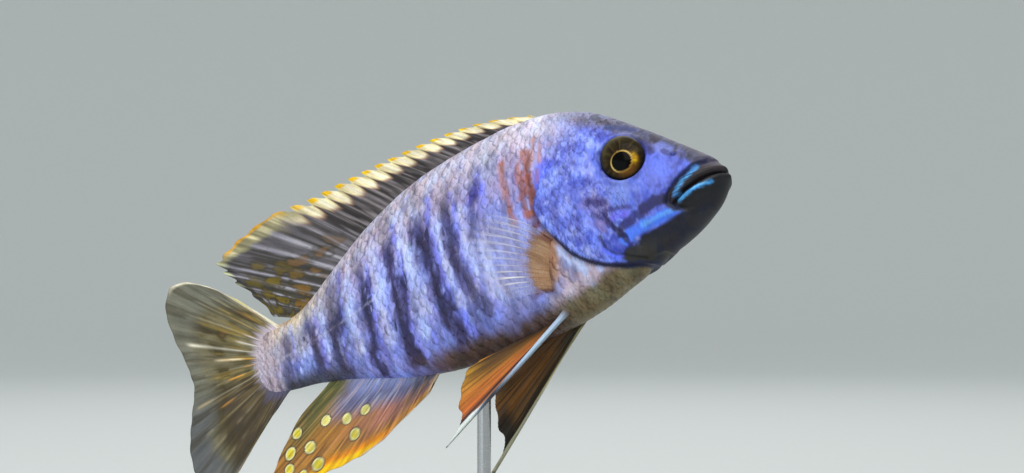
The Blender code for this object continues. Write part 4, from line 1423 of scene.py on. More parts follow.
def line_root(stations: tuple, line: tuple, rise: float) -> Callable[[np.ndarray], np.ndarray]:
    """Gives a fin root that follows the back or belly line.

    Args:
        stations: keys of the stations along the fin.
        line: the line, as (station, height).
        rise: how far the root lies above it.

    Returns:
        The root's places by shares along the fin.
    """
    def root(along: np.ndarray) -> np.ndarray:
        """Places of the root at shares along the fin."""
        station = Curve(stations)(along)
        return np.stack([station, np.zeros_like(station), Curve(line)(station) + rise], axis=1)
    return root


class DorsalFin(Fin):
    """The back fin: dark streaked web, cream lobes with orange tips, gold blotches behind."""

    LEAN = (math.cos(math.radians(28)), math.sin(math.radians(28)))  # the way the rear rays run
    BLOTCH_LENGTH, BLOTCH_WIDTH = 0.0215, 0.0092
    BLOTCHES = (  # places, colours and strengths
        ((1.002, 0.162), "#63561c", 0.8), ((0.955, 0.148), "#695916", 0.9), ((0.907, 0.145), "#6f5824", 0.8),
        ((0.976, 0.125), "#665618", 1.0), ((0.934, 0.102), "#6c5b12", 1.0), ((0.895, 0.105), "#765824", 0.9),
        ((0.961, 0.087), "#695912", 1.0), ((0.985, 0.106), "#5f5318", 0.7), ((0.903, 0.079), "#7c5c20", 0.9),
        ((0.933, 0.063), "#695916", 0.9), ((0.935, 0.169), "#635422", 0.7), ((0.984, 0.188), "#6c5e2c", 0.6),
        ((0.890, 0.164), "#80603c", 0.7), ((0.841, 0.163), "#7f5f3e", 0.8), ((0.862, 0.128), "#805f38", 0.7),
        ((0.806, 0.178), "#755a42", 0.5),
    )

    def margin(self, gap: np.ndarray, along: np.ndarray) -> np.ndarray:
        """The web is notched just behind each spine and rises to the tip of the next one."""
        lobes = ease(gap, 0.12, 0.25) * (1 - ease(gap, 0.27, 0.80)) * self.notch
        smooth = (0.02 + 0.07 * ease(along, 0.80, 0.86)) * np.sin(math.pi * gap) ** 2
        return lobes + (smooth - lobes) * ease(along, 0.63, 0.70)

    def paint(self, point: FinPoint) -> tuple[np.ndarray, np.ndarray]:
        """Paints the web, the rays, the cream lobes and the blotches.

        Args:
            point: where the fin's corners lie.

        Returns:
            Linear colours, one row for each corner, and how solid each is.
        """
        out, along, gap = point.out, point.along, point.gap
        rear = ease(along, 0.60, 0.72)
        fine = self.streaks(point, 0.17, 0.5)
        broad = self.streaks(point, 0.9, 0.5, 1)
        paint = np.tile(linear("#5c5659"), (len(out), 1))
        ray = bump(point.off, 0.15) * rear
        glaze(
            paint,
            ("#807a7e", ease(fine, 0.53, 0.67) * 0.7),
            ("#262122", ease(fine, 0.52, 0.38) * 0.95),
            ("#2d2829", bump(gap - 0.30, 0.12) * 0.6 * (1 - rear)),
            ("#928a8c", bump(point.off, 0.08) * 0.4 * (1 - rear)),
            ("#5f5c62", rear * 0.8),
            ("#3c3824", rear * ease(along, 0.76, 0.90) * ease(out + 0.3 * (broad - 0.5), 0.80, 0.60)
             * 0.7),
            ("#33302a", rear * ease(fine, 0.52, 0.40) * 0.75),
            ("#a3a0ae", ray * ease(broad, 0.30, 0.48) * 0.85),
            ("#c9c6d0", ray * ease(fine, 0.50, 0.62) * ease(out, 0.75, 0.45) * 0.6),
        )
        self.blotches(paint, point)
        front = ease(along, 0.16, 0.02)
        lobe = 0.60 + 0.17 * bump(gap - 0.20, 0.12) - 0.04 * bump(gap - 0.72, 0.25) + 0.10 * (fine - 0.5)
        lobe = lobe - 0.30 * front + 0.12 * ease(along, 0.50, 0.66)
        cream = ease(out - lobe, -0.06, 0.07)
        deep = out - 0.22 * (broad - 0.5) - 0.12 * (fine - 0.5) - 0.16 * ease(along, 0.70, 0.85)
        olive = ease(deep, 0.70 + 0.07 * ease(along, 0.66, 0.78), 0.86) * rear * ease(along, 0.88, 0.82)
        tip = ease(out, 0.870, 0.925) * np.maximum(ease(gap, 0.58, 0.76), ease(gap, 0.16, 0.13))
        back = ease(along, 0.80, 0.86)
        glaze(
            paint,
            ("#b98d74", ease(out - lobe, -0.11, -0.03) * (1 - rear) * 0.50),
            ("#f2e3ae", cream * (1 - rear)),
            ("#fff6dc", cream * bump(gap - 0.66, 0.22) * ease(out, 0.97, 0.86) * 0.9 * (1 - rear)),
            ("#3a3230", bump(gap - 0.20, 0.05) * ease(out, 0.92, 0.82) * (1 - rear) * (1 - front) * 0.7),
            ("#b0aa80", olive * 0.85),
            ("#e6dcae", olive * ease(fine, 0.52, 0.64) * 0.8),
            ("#85805f", olive * ease(fine, 0.50, 0.38) * 0.7),
            ("#fbc80c", tip * (1 - rear)),
            ("#e2a830", ease(out + 0.04 * (fine - 0.5), 0.945, 0.975) * rear * ease(along, 0.84, 0.78)),
            ("#25221d", back * ease(out, 0.78, 0.88) * ease(fine, 0.46, 0.54) * 0.85),
            ("#d6dcae", back * ray * ease(out, 0.86, 0.93) * ease(along, 0.95, 0.88)),
        )
        return paint, np.ones(len(out))

    def blotches(self, paint: np.ndarray, point: FinPoint) -> None:
        """Lays rows of gold and brown blotches on the web between the rear rays.

        Args:
            paint: linear colours, one row for each corner, changed where they stand.
            point: where the fin's corners lie.
        """
        ragged = self.streaks(point, 0.5, 0.06, 2)
        s, z = point.place[:, 0], point.place[:, 2]
        for at, colour, strength in self.BLOTCHES:
            ds, dz = s - at[0], z - at[1]
            run, rise = ds * self.LEAN[0] + dz * self.LEAN[1], dz * self.LEAN[0] - ds * self.LEAN[1]
            distance = np.hypot(run / self.BLOTCH_LENGTH, rise / self.BLOTCH_WIDTH) + 2.8 * (ragged - 0.5)
            web = 1 - 0.45 * bump(point.off, 0.14)
            glaze(
                paint,
                ("#35301a", 0.75 * strength * (1 - ease(distance, 1.00, 1.6))),
                (colour, strength * web * (1 - ease(distance, 0.55, 1.05))),
            )


class AnalFin(Fin):
    """The fin under the tail: blue at its root, rust and orange outwards, with pale egg spots."""

    EGG_SPOTS = (  # (station, height, radius)
        (0.809, -0.168, 0.0082), (0.851, -0.171, 0.0086), (0.896, -0.159, 0.0092), (0.840, -0.205, 0.0092),
        (0.962, -0.162, 0.0086), (0.939, -0.198, 0.0104), (0.984, -0.195, 0.0100), (0.929, -0.234, 0.0104),
        (0.991, -0.224, 0.0088), (1.022, -0.236, 0.0080), (0.965, -0.243, 0.0070),
    )

    def paint(self, point: FinPoint) -> tuple[np.ndarray, np.ndarray]:
        """Paints the web, the bright margin and the egg spots.

        Args:
            point: where the fin's corners lie.

        Returns:
            Linear colours, one row for each corner, and how solid each is.
        """
        out, along = point.out, point.along
        fine = self.streaks(point, 0.12, 0.36)
        broad = self.streaks(point, 0.8, 0.4, 1)
        paint = np.tile(linear("#ae7732"), (len(out), 1))
        blue = ease(out + 0.12 * (fine - 0.5), 0.46, 0.22) * ease(along, 0.86, 0.62)
        edge = ease(along, 0.13, 0.24) * ease(along, 0.56, 0.48)
        pale = ease(out, 0.95, 0.98) * ease(along, 0.30, 0.24)
        s, z = point.place[:, 0], point.place[:, 2]
        glaze(
            paint,
            ("#ae7468", ease(along, 0.58, 0.30) * ease(out, 0.85, 0.5) * 0.85),
            ("#bd8a38", ease(broad, 0.5, 0.7) * 0.6),
            ("#6f6432", ease(along, 0.60, 0.80) * ease(out, 0.95, 0.6) * 0.9),
            ("#5d6436", ease(along, 0.72, 0.90) * ease(out, 0.62 + 1.6 * ease(along, 0.74, 0.86), 0.40)
             * 0.88),
            ("#686d98", blue * 0.95),
            ("#98a6cc", blue * ease(fine, 0.54, 0.66) * 0.75),
            ("#464b66", blue * ease(fine, 0.46, 0.34) * 0.6),
            ("#8792cc", ease(out + 0.26 * (fine - 0.5), 0.20, 0.10) * ease(along, 0.9, 0.6) * 0.85),
            ("#b4c2ee", ease(out + 0.5 * (fine - 0.5), 0.10, 0.02) * ease(along, 0.9, 0.6) * 0.5),
            ("#46434f", ease(along, 0.32, 0.08) * ease(out, 0.86, 0.40) * 0.88),
            ("#4a3327", ease(fine, 0.42, 0.26) * 0.6),
            ("#d9a46c", ease(fine, 0.60, 0.74) * 0.35),
            ("#e58a10", edge * ease(out + 0.06 * (fine - 0.5), 0.72, 0.86) * 0.95),
            ("#ffc400", edge * ease(out, 0.84, 0.93) * ease(along, 0.17, 0.27)),
            ("#d9cbb4", pale * 0.85),
            ("#d58a4c", pale * bump(along - 0.17, 0.03)),
            ("#d8c2a0", ease(along, 0.030, 0.012) * ease(fine, 0.36, 0.50) * 0.9),
        )
        for number, (spot_s, spot_z, radius) in enumerate(self.EGG_SPOTS):
            turn = math.radians(-34 + 9 * math.cos(2.7 * number))
            ds, dz = s - spot_s, z - spot_z
            a = (ds * math.cos(turn) + dz * math.sin(turn)) / (1.20 + 0.08 * math.cos(1.9 * number))
            b = -ds * math.sin(turn) + dz * math.cos(turn)
            distance = np.hypot(a, b) / radius + 0.05 * (fine - 0.5)
            gold = 0.55 + 0.45 * ease(out, 0.45, 0.70)
            glaze(
                paint,
                ("#352b26", 0.9 * (1 - ease(distance, 1.18, 1.40))),
                ("#e6e2a8", 1 - ease(distance, 0.98, 1.14)),
                ("#dccb34", gold * (1 - ease(distance, 0.62, 1.00))),
                ("#c4b436", 0.5 * gold * (1 - ease(distance, 0.2, 0.7)) * ease(fine, 0.52, 0.42)),
            )
        return paint, np.ones(len(out))


class TailFin(Fin):
    """The tail fin: olive brown with pale streaks, grey margins and a cream upper edge."""

    BRIGHT_RAYS = (  # the ray's number, where its light part starts and ends, and its colour
        (5, 0.05, 0.32, "#e8e2d6"), (6, 0.05, 0.86, "#e9e3cf"), (7, 0.06, 0.56, "#e6ad52"),
        (7, 0.30, 0.62, "#efe2c0"), (8, 0.05, 0.30, "#d9a45a"), (9, 0.32, 0.52, "#d79a3c"),
        (10, 0.06, 0.92, "#a89a7c"), (11, 0.46, 0.60, "#c98e3e"), (4, 0.05, 0.24, "#cbbfc0"),
    )

    def paint(self, point: FinPoint) -> tuple[np.ndarray, np.ndarray]:
        """Paints the web, the rays and the edges.

        Args:
            point: where the fin's corners lie.

        Returns:
            Linear colours, one row for each corner, and how solid each is.
        """
        out, along = point.out, point.along
        fine = self.streaks(point, 0.24, 0.30)
        broad = self.streaks(point, 0.9, 0.14, 1)
        paint = np.tile(linear("#605838"), (len(out), 1))
        low = ease(along, 0.50, 0.66)
        grey = ease(out + 0.25 * (broad - 0.5) + 0.20 * ease(along, 0.30, 0.12), 0.62, 0.88)
        glaze(
            paint,
            ("#433819", ease(broad, 0.50, 0.60) * 0.8),
            ("#7d5b34", ease(broad, 0.60, 0.72) * ease(along, 0.5, 0.3) * ease(out, 0.6, 0.35) * 0.7),
            ("#7d7860", ease(broad, 0.46, 0.34) * 0.55),
            ("#463a2c", low * ease(out + 0.2 * (broad - 0.5), 0.72, 0.50) * 0.9),
            ("#76776a", grey * 0.85),
            ("#585b60", grey * low * 0.80),
            ("#a79a78", bump(point.off, 0.10) * 0.36 * ease(out, 1.0, 0.7) * ease(broad, 0.66, 0.46)),
            ("#98813f", ease(fine, 0.57, 0.68) * (1 - grey) * (1 - 0.7 * low) * 0.55),
            ("#3a311a", ease(fine, 0.46, 0.34) * 0.45),
            ("#a8977a", ease(along, 0.84, 0.90) * ease(along, 0.98, 0.94) * ease(out, 0.68, 0.85) * 0.7),
        )
        for ray, start, end, colour in self.BRIGHT_RAYS:
            there = ease(out, start - 0.04, start + 0.04) * ease(out, end + 0.05, end - 0.05)
            there = (point.ray == ray) * there * bump(point.off, 0.10)
            glaze(paint, (colour, there * (0.55 + 0.45 * ease(fine, 0.40, 0.55))))
        root = ease(out + 0.17 * (fine - 0.5), 0.22, 0.09)
        top = ease(along, 0.052, 0.020)
        glaze(
            paint,
            ("#c4b8c6", root * ease(along, 0.85, 0.60) * 0.95),
            ("#5b5874", root * ease(along, 0.60, 0.85)),
            ("#efe7cc", np.maximum(top, ease(along, 0.22, 0.14) * ease(out, 0.955, 0.985))),
            ("#dccb52", ease(along, 0.03, 0.008) * ease(out, 0.50, 0.80) * 0.8),
            ("#b06f33", top * ease(fine, 0.54, 0.64) * ease(out, 0.6, 0.4) * 0.8),
            ("#4a4c60", ease(along, 0.955, 0.985) * ease(out, 0.7, 0.3) * 0.8),
        )
        return paint, np.ones(len(out))


class PelvicFin(Fin):
    """A belly fin: a pale leading edge, a dark line, then an orange web. The far one is browner, and darker
    with painted shade.
    """

    TINTS = {  # ground, web, light, fibre, line, edge, its shade, its gap, its tip
        Side.RIGHT: ("#c4682a", "#bd8c28", "#d98a32", "#7d561e", "#2f2838", "#bcd3f0", "#6f7fa8", "#332c40",
                     "#eaf3f0"),
        # the far fin: browner, and darker with painted shade
        Side.LEFT: ("#8a5a24", "#8f6228", "#9a6426", "#2c2516", "#1d1b17", "#cfc99a", "#8d8a60", "#d9d6b4",
                    "#d9d6b4"),
    }
    LINE_AT = {Side.RIGHT: 0.185, Side.LEFT: 0.15}
    EDGE_AT = {Side.RIGHT: 0.135, Side.LEFT: 0.108}

    def paint(self, point: FinPoint) -> tuple[np.ndarray, np.ndarray]:
        """Paints the leading edge and the web.

        Args:
            point: where the fin's corners lie.

        Returns:
            Linear colours, one row for each corner, and how solid each is.
        """
        out, along = point.out, point.along
        fine = self.streaks(point, 0.14, 0.8)
        broad = self.streaks(point, 0.7, 0.35, 1)
        near = self.side is Side.RIGHT
        ground, web, light, fibre, line, edge, shade, gap, tip = self.TINTS[self.side]
        paint = np.tile(linear(ground), (len(out), 1))
        glaze(
            paint,
            (web, ease(along, 0.30, 0.70) * 0.95),
            (light, ease(broad, 0.5, 0.68) * 0.5),
            (fibre, ease(fine, 0.46, 0.30) * 0.7),
            # painted shadow of the body, near the root and along the upper edge
            ("#40301e", ease(out, 0.34, 0.10) * 0.9),
            ("#543618", ease(along, 0.25, 0.75) * ease(out + 0.2 * (fine - 0.5), 0.98, 0.60) * 0.88),
        )
        if near:
            rear = ease(along, 0.44, 0.86)
            # painted shadow of the body along the near fin's upper edge
            glaze(paint, ("#463018", rear * ease(out + 0.15 * (fine - 0.5), 1.06, 0.76) * 0.9))
        else:
            rear = ease(along, 0.40, 0.62)
            glaze(
                paint,
                ("#8c5a26", rear * ease(out, 0.55, 0.80) * ease(fine, 0.36, 0.56) * 0.7),
                # painted shade: the far fin darker at its front and tip
                ("#2c2a1a", ease(along, 0.46, 0.26) * (0.45 + 0.50 * ease(fine, 0.58, 0.42))),
                ("#1c1d18", ease(out, 0.80, 0.92) * ease(along, 0.62, 0.42) * 0.85),
            )
        front = self.EDGE_AT[self.side] - 0.03 * ease(out, 0.30, 0.62) + 0.05 * ease(out, 0.76, 0.90)
        lead = ease(along, front + 0.012, front - 0.010) * ease(out, 0.00, 0.10)
        glaze(
            paint,
            (line, bump(along - self.LINE_AT[self.side], 0.045) * ease(out, 0.04, 0.16) * 0.95),
            (edge, lead if near else lead * ease(along, 0.10, 0.05)),
            (shade, lead * ease(along, 0.05, 0.09) * ease(out, 0.8, 0.7) * 0.6),
            (gap, lead * bump(out - 0.64, 0.105) * 0.95),
            (tip, lead * ease(out, 0.72, 0.80)),
        )
        return paint, np.ones(len(out))


class PectoralFin(Fin):
    """A breast fin: a fleshy tan root, then a clear fan on fine pale rays."""

    def paint(self, point: FinPoint) -> tuple[np.ndarray, np.ndarray]:
        """Paints the root, the rays and the clear web.

        Args:
            point: where the fin's corners lie.

        Returns:
            Linear colours, one row for each corner, and how solid each is.
        """
        out, along = point.out, point.along
        fine = self.streaks(point, 0.5, 0.16)
        ends = ease(along, -0.02, 0.10) * ease(along, 1.02, 0.92)
        root = ease(out + 0.12 * (fine - 0.5) + 0.10 * (1 - ends), 0.40, 0.24)
        spread = self.branch * ease(out, 0.42, 0.92)
        ray = np.maximum(bump(point.off - spread, 0.08), bump(point.off + spread, 0.08))
        low = bump(along - 0.70, 0.10) * ease(out, 0.36, 0.42) * ease(out, 0.74, 0.60)
        paint = np.tile(linear("#bcc0e6"), (len(out), 1))
        upper = ease(along, 0.62, 0.20)
        near = self.side is Side.RIGHT
        haze = (0.12 + 0.16 * upper) * ease(out + 0.3 * (fine - 0.5), 0.95, 0.40)
        solid = ray * (0.16 + 0.34 * upper + (0.75 * low if near else 0.0)) * ease(out, 1.0, 0.45)
        film = (0.03 * ease(out, 1.0, 0.9) + haze + solid) * (1 if near else ease(along, 0.66, 0.46))
        alpha = np.maximum(film, root * (0.35 + 0.65 * ends))
        glaze(
            paint,
            ("#e2e1f2", ray),
            ("#c0a08e", ray * ease(out, 0.50, 0.30)),
            ("#fffdf6", ray * low),
            ("#ba9370", root),
            ("#997052", root * ease(fine, 0.48, 0.36) * 0.45),
            ("#cdaa8a", root * ease(fine, 0.54, 0.66) * 0.6),
            ("#8e5350", root * ease(along, 0.14, 0.0) * 0.85),
            ("#6f4232", root * ease(along, 0.86, 0.98) * 0.85),
        )
        return paint, np.clip(alpha, 0, 1)


class FinSet:
    """All the fins, with their roots and tips as the solids have them."""

    SINK = 0.012  # how deep the roots of the upright fins lie in the body
    DORSAL_TIPS = (
        (0.0, (0.350, 0.0, 0.245)), (0.08, (0.430, 0.0, 0.268)), (0.20, (0.527, 0.0, 0.281)),
        (0.36, (0.655, 0.0, 0.283)), (0.52, (0.780, 0.0, 0.279)), (0.62, (0.865, 0.001, 0.276)),
        (0.68, (0.930, 0.002, 0.280)), (0.74, (1.005, 0.005, 0.267)), (0.80, (1.062, 0.008, 0.248)),
        (0.84, (1.085, 0.009, 0.236)), (0.88, (1.072, 0.008, 0.211)), (0.92, (1.045, 0.006, 0.177)),
        (0.96, (1.008, 0.003, 0.134)), (1.0, (0.972, 0.001, 0.080)),
    )
    ANAL_TIPS = (
        (0.0, (0.672, 0.0, -0.184)), (0.10, (0.730, 0.0, -0.210)), (0.20, (0.795, -0.002, -0.239)),
        (0.36, (0.880, -0.004, -0.254)), (0.50, (0.965, -0.007, -0.259)), (0.66, (1.060, -0.010, -0.258)),
        (0.75, (1.035, -0.008, -0.225)), (0.85, (0.992, -0.005, -0.174)), (0.93, (0.945, -0.002, -0.128)),
        (1.0, (0.897, 0.0, -0.103)),
    )
    TAIL_ROOT = ((0.0, (0.955, 0.0, 0.050)), (0.5, (1.002, 0.0, -0.006)), (1.0, (0.955, 0.0, -0.066)))
    TAIL_TIPS = (
        (0.0, (1.050, 0.003, 0.146)), (0.06, (1.105, 0.004, 0.192)), (0.12, (1.160, 0.004, 0.224)),
        (0.18, (1.200, 0.004, 0.226)), (0.24, (1.215, 0.002, 0.192)), (0.32, (1.209, 0.000, 0.134)),
        (0.42, (1.185, -0.002, 0.058)), (0.52, (1.177, -0.003, 0.000)), (0.62, (1.196, -0.002, -0.056)),
        (0.72, (1.212, 0.001, -0.120)), (0.80, (1.204, 0.003, -0.182)), (0.87, (1.180, 0.005, -0.236)),
        (0.93, (1.122, 0.004, -0.194)), (1.0, (1.062, 0.003, -0.140)),
    )
    PELVIC_ROOT = ((0.0, (0.343, 0.034, -0.148)), (1.0, (0.396, 0.014, -0.158)))
    PELVIC_TIPS = (
        (0.0, (0.610, 0.090, -0.325)), (0.2, (0.574, 0.084, -0.289)), (0.4, (0.576, 0.077, -0.259)),
        (0.6, (0.568, 0.067, -0.223)), (0.8, (0.556, 0.054, -0.192)), (1.0, (0.530, 0.040, -0.178)),
    )
    PECTORAL_ROOT = (
        (0.0, (0.330, 0.068, -0.034)), (0.5, (0.352, 0.066, -0.078)), (1.0, (0.362, 0.058, -0.116)),
    )
    PECTORAL_TIPS = (
        (0.0, (0.372, 0.235, -0.002)), (0.2, (0.398, 0.270, -0.030)), (0.4, (0.413, 0.283, -0.070)),
        (0.6, (0.413, 0.279, -0.112)), (0.8, (0.403, 0.255, -0.146)), (1.0, (0.386, 0.215, -0.160)),
    )
    PELVIC_STRETCH = {Side.LEFT: 1.07, Side.RIGHT: 1.0}
    PECTORAL_FOLD = {Side.LEFT: math.radians(32), Side.RIGHT: 0.0}

    def fins(self) -> list[Fin]:
        """Lists the fins."""
        dorsal_root = line_root(((0.0, 0.318), (0.64, 0.750), (1.0, 0.915)), BACK_LINE, -self.SINK)
        anal_root = line_root(((0.0, 0.636), (1.0, 0.862)), BELLY_LINE, self.SINK)
        made: list[Fin] = [
            DorsalFin("dorsal_fin_rays", 26, 17, dorsal_root, self.DORSAL_TIPS, "dorsal_fin_web",
                      ("dorsal_fin",), notch=0.13, columns=18, rows=60, sheath=0.20),
            AnalFin("anal_fin_rays", 12, 3, anal_root, self.ANAL_TIPS, "anal_fin_web", ("anal_fin",),
                    notch=0.020, columns=22, rows=100, seed=31),
            TailFin("tail_fin_rays", 18, 0, Curve(self.TAIL_ROOT), self.TAIL_TIPS, "tail_fin_web",
                    ("tail_fin",), notch=0.008, columns=22, rows=64, seed=41),
        ]
        for side in Side:
            made.append(PelvicFin(
                side.named("pelvic_fin_rays"), 6, 1, Curve(self.PELVIC_ROOT), self.PELVIC_TIPS,
                "pelvic_fin_web", (side.named("pelvic_fin"),), notch=0.015, side=side,
                stretch=self.PELVIC_STRETCH[side], columns=30, rows=60, seed=51, wave_mm=0.0, spine_mm=1.1,
                sheath=0.10, taper=0.15,
            ))
            made.append(PectoralFin(
                side.named("pectoral_fin_rays"), 14, 0, Curve(self.PECTORAL_ROOT), self.PECTORAL_TIPS,
                "pectoral_fin_web", (side.named("pectoral_fin"),), notch=0.03, side=side, bow=0.018,
                fold=self.PECTORAL_FOLD[side], columns=14, rows=44, sheath=0.24, clear=True, seed=61,
                soft_mm=0.34, web_mm=0.12, fibre=0.2,
            ))
        return made

    def build(self) -> None:
        """Builds and dresses all the fins."""
        web = PaintedResin("fin_paint", speck_mm=0.30, speck_depth=0.08, cloud_depth=0.05, skin_mm=0.25,
                           skin_height_mm=0.02, roughness=(0.38, 0.52), coat=0.08).material()
        sheer = PaintedResin("clear_fin_film", speck_depth=0.06, cloud_depth=0.0, roughness=(0.22, 0.34),
                             skin_height_mm=0.01, coat=0.0, clear=True).material()
        for fin in self.fins():
            finish_piece(fin.build(), sheer if fin.clear else web, fin.slot, *fin.nodes)


@dataclass
class Eye:
    """A glossy eyeball, painted with a round pupil, a gold ring and a bronze iris.

    Sizes are in standard lengths, and names in mm are millimetres.
    """

    side: Side
    centre: tuple[float, float, float] = (0.1675, 0.0560, 0.0655)
    radius: float = 0.0396
    half_depth: float = 0.022
    turn_forward: float = math.radians(7)
    turn_up: float = math.radians(9)
    segments: int = 96
    pupil_mm: float = 1.88
    ring_mm: float = 0.20
    looks_mm: tuple[float, float] = (0.50, -1.36)  # where the pupil sits, forward and up of the ball's pole

    def matrix(self) -> tuple[Matrix, np.ndarray]:
        """Gives the turn of a unit ball that looks sideways, and the eye's radii in millimetres."""
        out = float(self.side.value)
        aside = out * math.cos(self.turn_forward) * math.cos(self.turn_up)
        looks = Vector((math.sin(self.turn_forward), aside, math.sin(self.turn_up))).normalized()
        basis = looks.to_track_quat("Z", "Y").to_matrix() @ Matrix.Rotation(-out * EYE_SLANT, 3, "Z")
        return basis, np.array((self.radius, self.radius * EYE_TALL, self.half_depth)) * PLACE_MM

    def build(self) -> bpy.types.Object:
        """Makes and paints the eye."""
        bm = bmesh.new()
        bmesh.ops.create_uvsphere(bm, u_segments=self.segments, v_segments=self.segments // 2, radius=1.0)
        mesh = as_mesh(self.side.named("eyeball"), bm)
        ball = corners_of(mesh)
        basis, radii = self.matrix()
        level = (ball * radii) @ np.array(basis).T
        middle = level_mm(np.array([self.centre])) * np.array((1, self.side.value, 1))
        mesh.vertices.foreach_set("co", FishPose.turned(level + middle).ravel())
        store_paint(mesh, self.paint(level, ball[:, 2]))
        return new_piece(mesh.name, mesh)

    def paint(self, level: np.ndarray, front: np.ndarray) -> np.ndarray:
        """Paints the pupil, ring and iris by their distances from the pupil's middle.

        Args:
            level: the corners in level millimetres round the eyeball's middle.
            front: how far they lie towards its pole, from -1 to 1.

        Returns:
            Linear colours, one row for each.
        """
        forward, up = level[:, 0] - self.looks_mm[0], level[:, 2] - self.looks_mm[1]
        distance = np.hypot(forward, up)
        angle = np.arctan2(up, forward)
        spokes = Grain(71)(np.stack([np.cos(angle) * 3, np.sin(angle) * 3, distance * 0.35], axis=1),
                           (0.30, 0.30, 0.6), 3)
        paint = np.tile(linear("#281f13"), (len(level), 1))

        def toward(turn: float, width: float) -> np.ndarray:
            """A hill round one direction from the pupil's middle, in radians."""
            return bump(np.angle(np.exp(1j * (angle - turn))), width)

        rim = np.sqrt(1 - np.clip(front, 0, 1) ** 2)
        ahead, low = toward(-0.02, 0.36), toward(-1.1, 0.9)
        bright = np.maximum(toward(0.75, 0.7), toward(3.4, 0.7))
        beyond = distance - self.pupil_mm
        ring = beyond - self.ring_mm * (1 + 0.9 * ahead)
        glaze(
            paint,
            ("#4a4124", ease(spokes, 0.48, 0.68) * 0.55),
            ("#191610", ease(spokes, 0.50, 0.34) * 0.45),
            ("#5d5634", toward(2.0, 0.7) * bump(rim - 0.74, 0.16) * 0.5),
            ("#7a4f1e", low * ease(distance, 3.6, 2.2) * 0.7),
            ("#bd8c10", ahead * ease(distance, 3.20, 2.45) * 0.95),
            ("#f0c814", ahead ** 1.5 * ease(distance, 2.95, 2.5) * ease(spokes, 0.40, 0.54) * 0.85),
            ("#8a6426", ease(ring, 0.14, -0.05) * (0.55 + 0.45 * bright)),
            ("#efd07a", bump(beyond - 0.12, 0.11) * (0.15 + 0.85 * bright)),
            ("#12100c", ease(rim, 0.91, 0.985) * 0.9),
            ("#040404", ease(beyond, 0.03, -0.06)),
            ("#060506", ease(front, 0.0, -0.2)),
        )
        return paint


@dataclass
class Stand:
    """The plinth, made finer than the solid in its place, and the solid rod. Sizes are in metres."""

    size: tuple[float, float, float] = (0.096, 0.056, 0.008)
    corner: float = 0.012
    corner_faces: int = 14
    edge: float = 0.0016
    edge_faces: int = 6
    sharp: float = math.radians(35)

    def base(self) -> bpy.types.Object:
        """Makes the plinth: a box with rounded corners and eased edges."""
        half = self.size[2] / 2
        bm = bmesh.new()
        bmesh.ops.create_cube(bm, size=1.0)
        bmesh.ops.scale(bm, vec=self.size, verts=bm.verts)
        bmesh.ops.translate(bm, vec=(0, 0, half), verts=bm.verts)
        eased = {"profile": 0.5, "material": -1, "affect": "EDGES"}
        upright = [e for e in bm.edges if abs(e.verts[0].co.z - e.verts[1].co.z) > half]
        bmesh.ops.bevel(bm, geom=upright, offset=self.corner, segments=self.corner_faces, **eased)
        top = [e for e in bm.edges if min(v.co.z for v in e.verts) > 0.98 * half]
        bmesh.ops.bevel(bm, geom=top, offset=self.edge, segments=self.edge_faces, **eased)
        return new_piece("stand_plinth", as_mesh("stand_plinth", bm))

    def build(self) -> None:
        """Dresses the plinth and the rod."""
        base = self.base()
        finish_piece(base, BlackAcrylic().material(), "stand_plinth", "stand_base")
        base.data.set_sharp_from_angle(angle=self.sharp)
        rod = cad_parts["stand_rod"]
        rod.data.materials.clear()
        rod.data.materials.append(BrushedSteel().material())


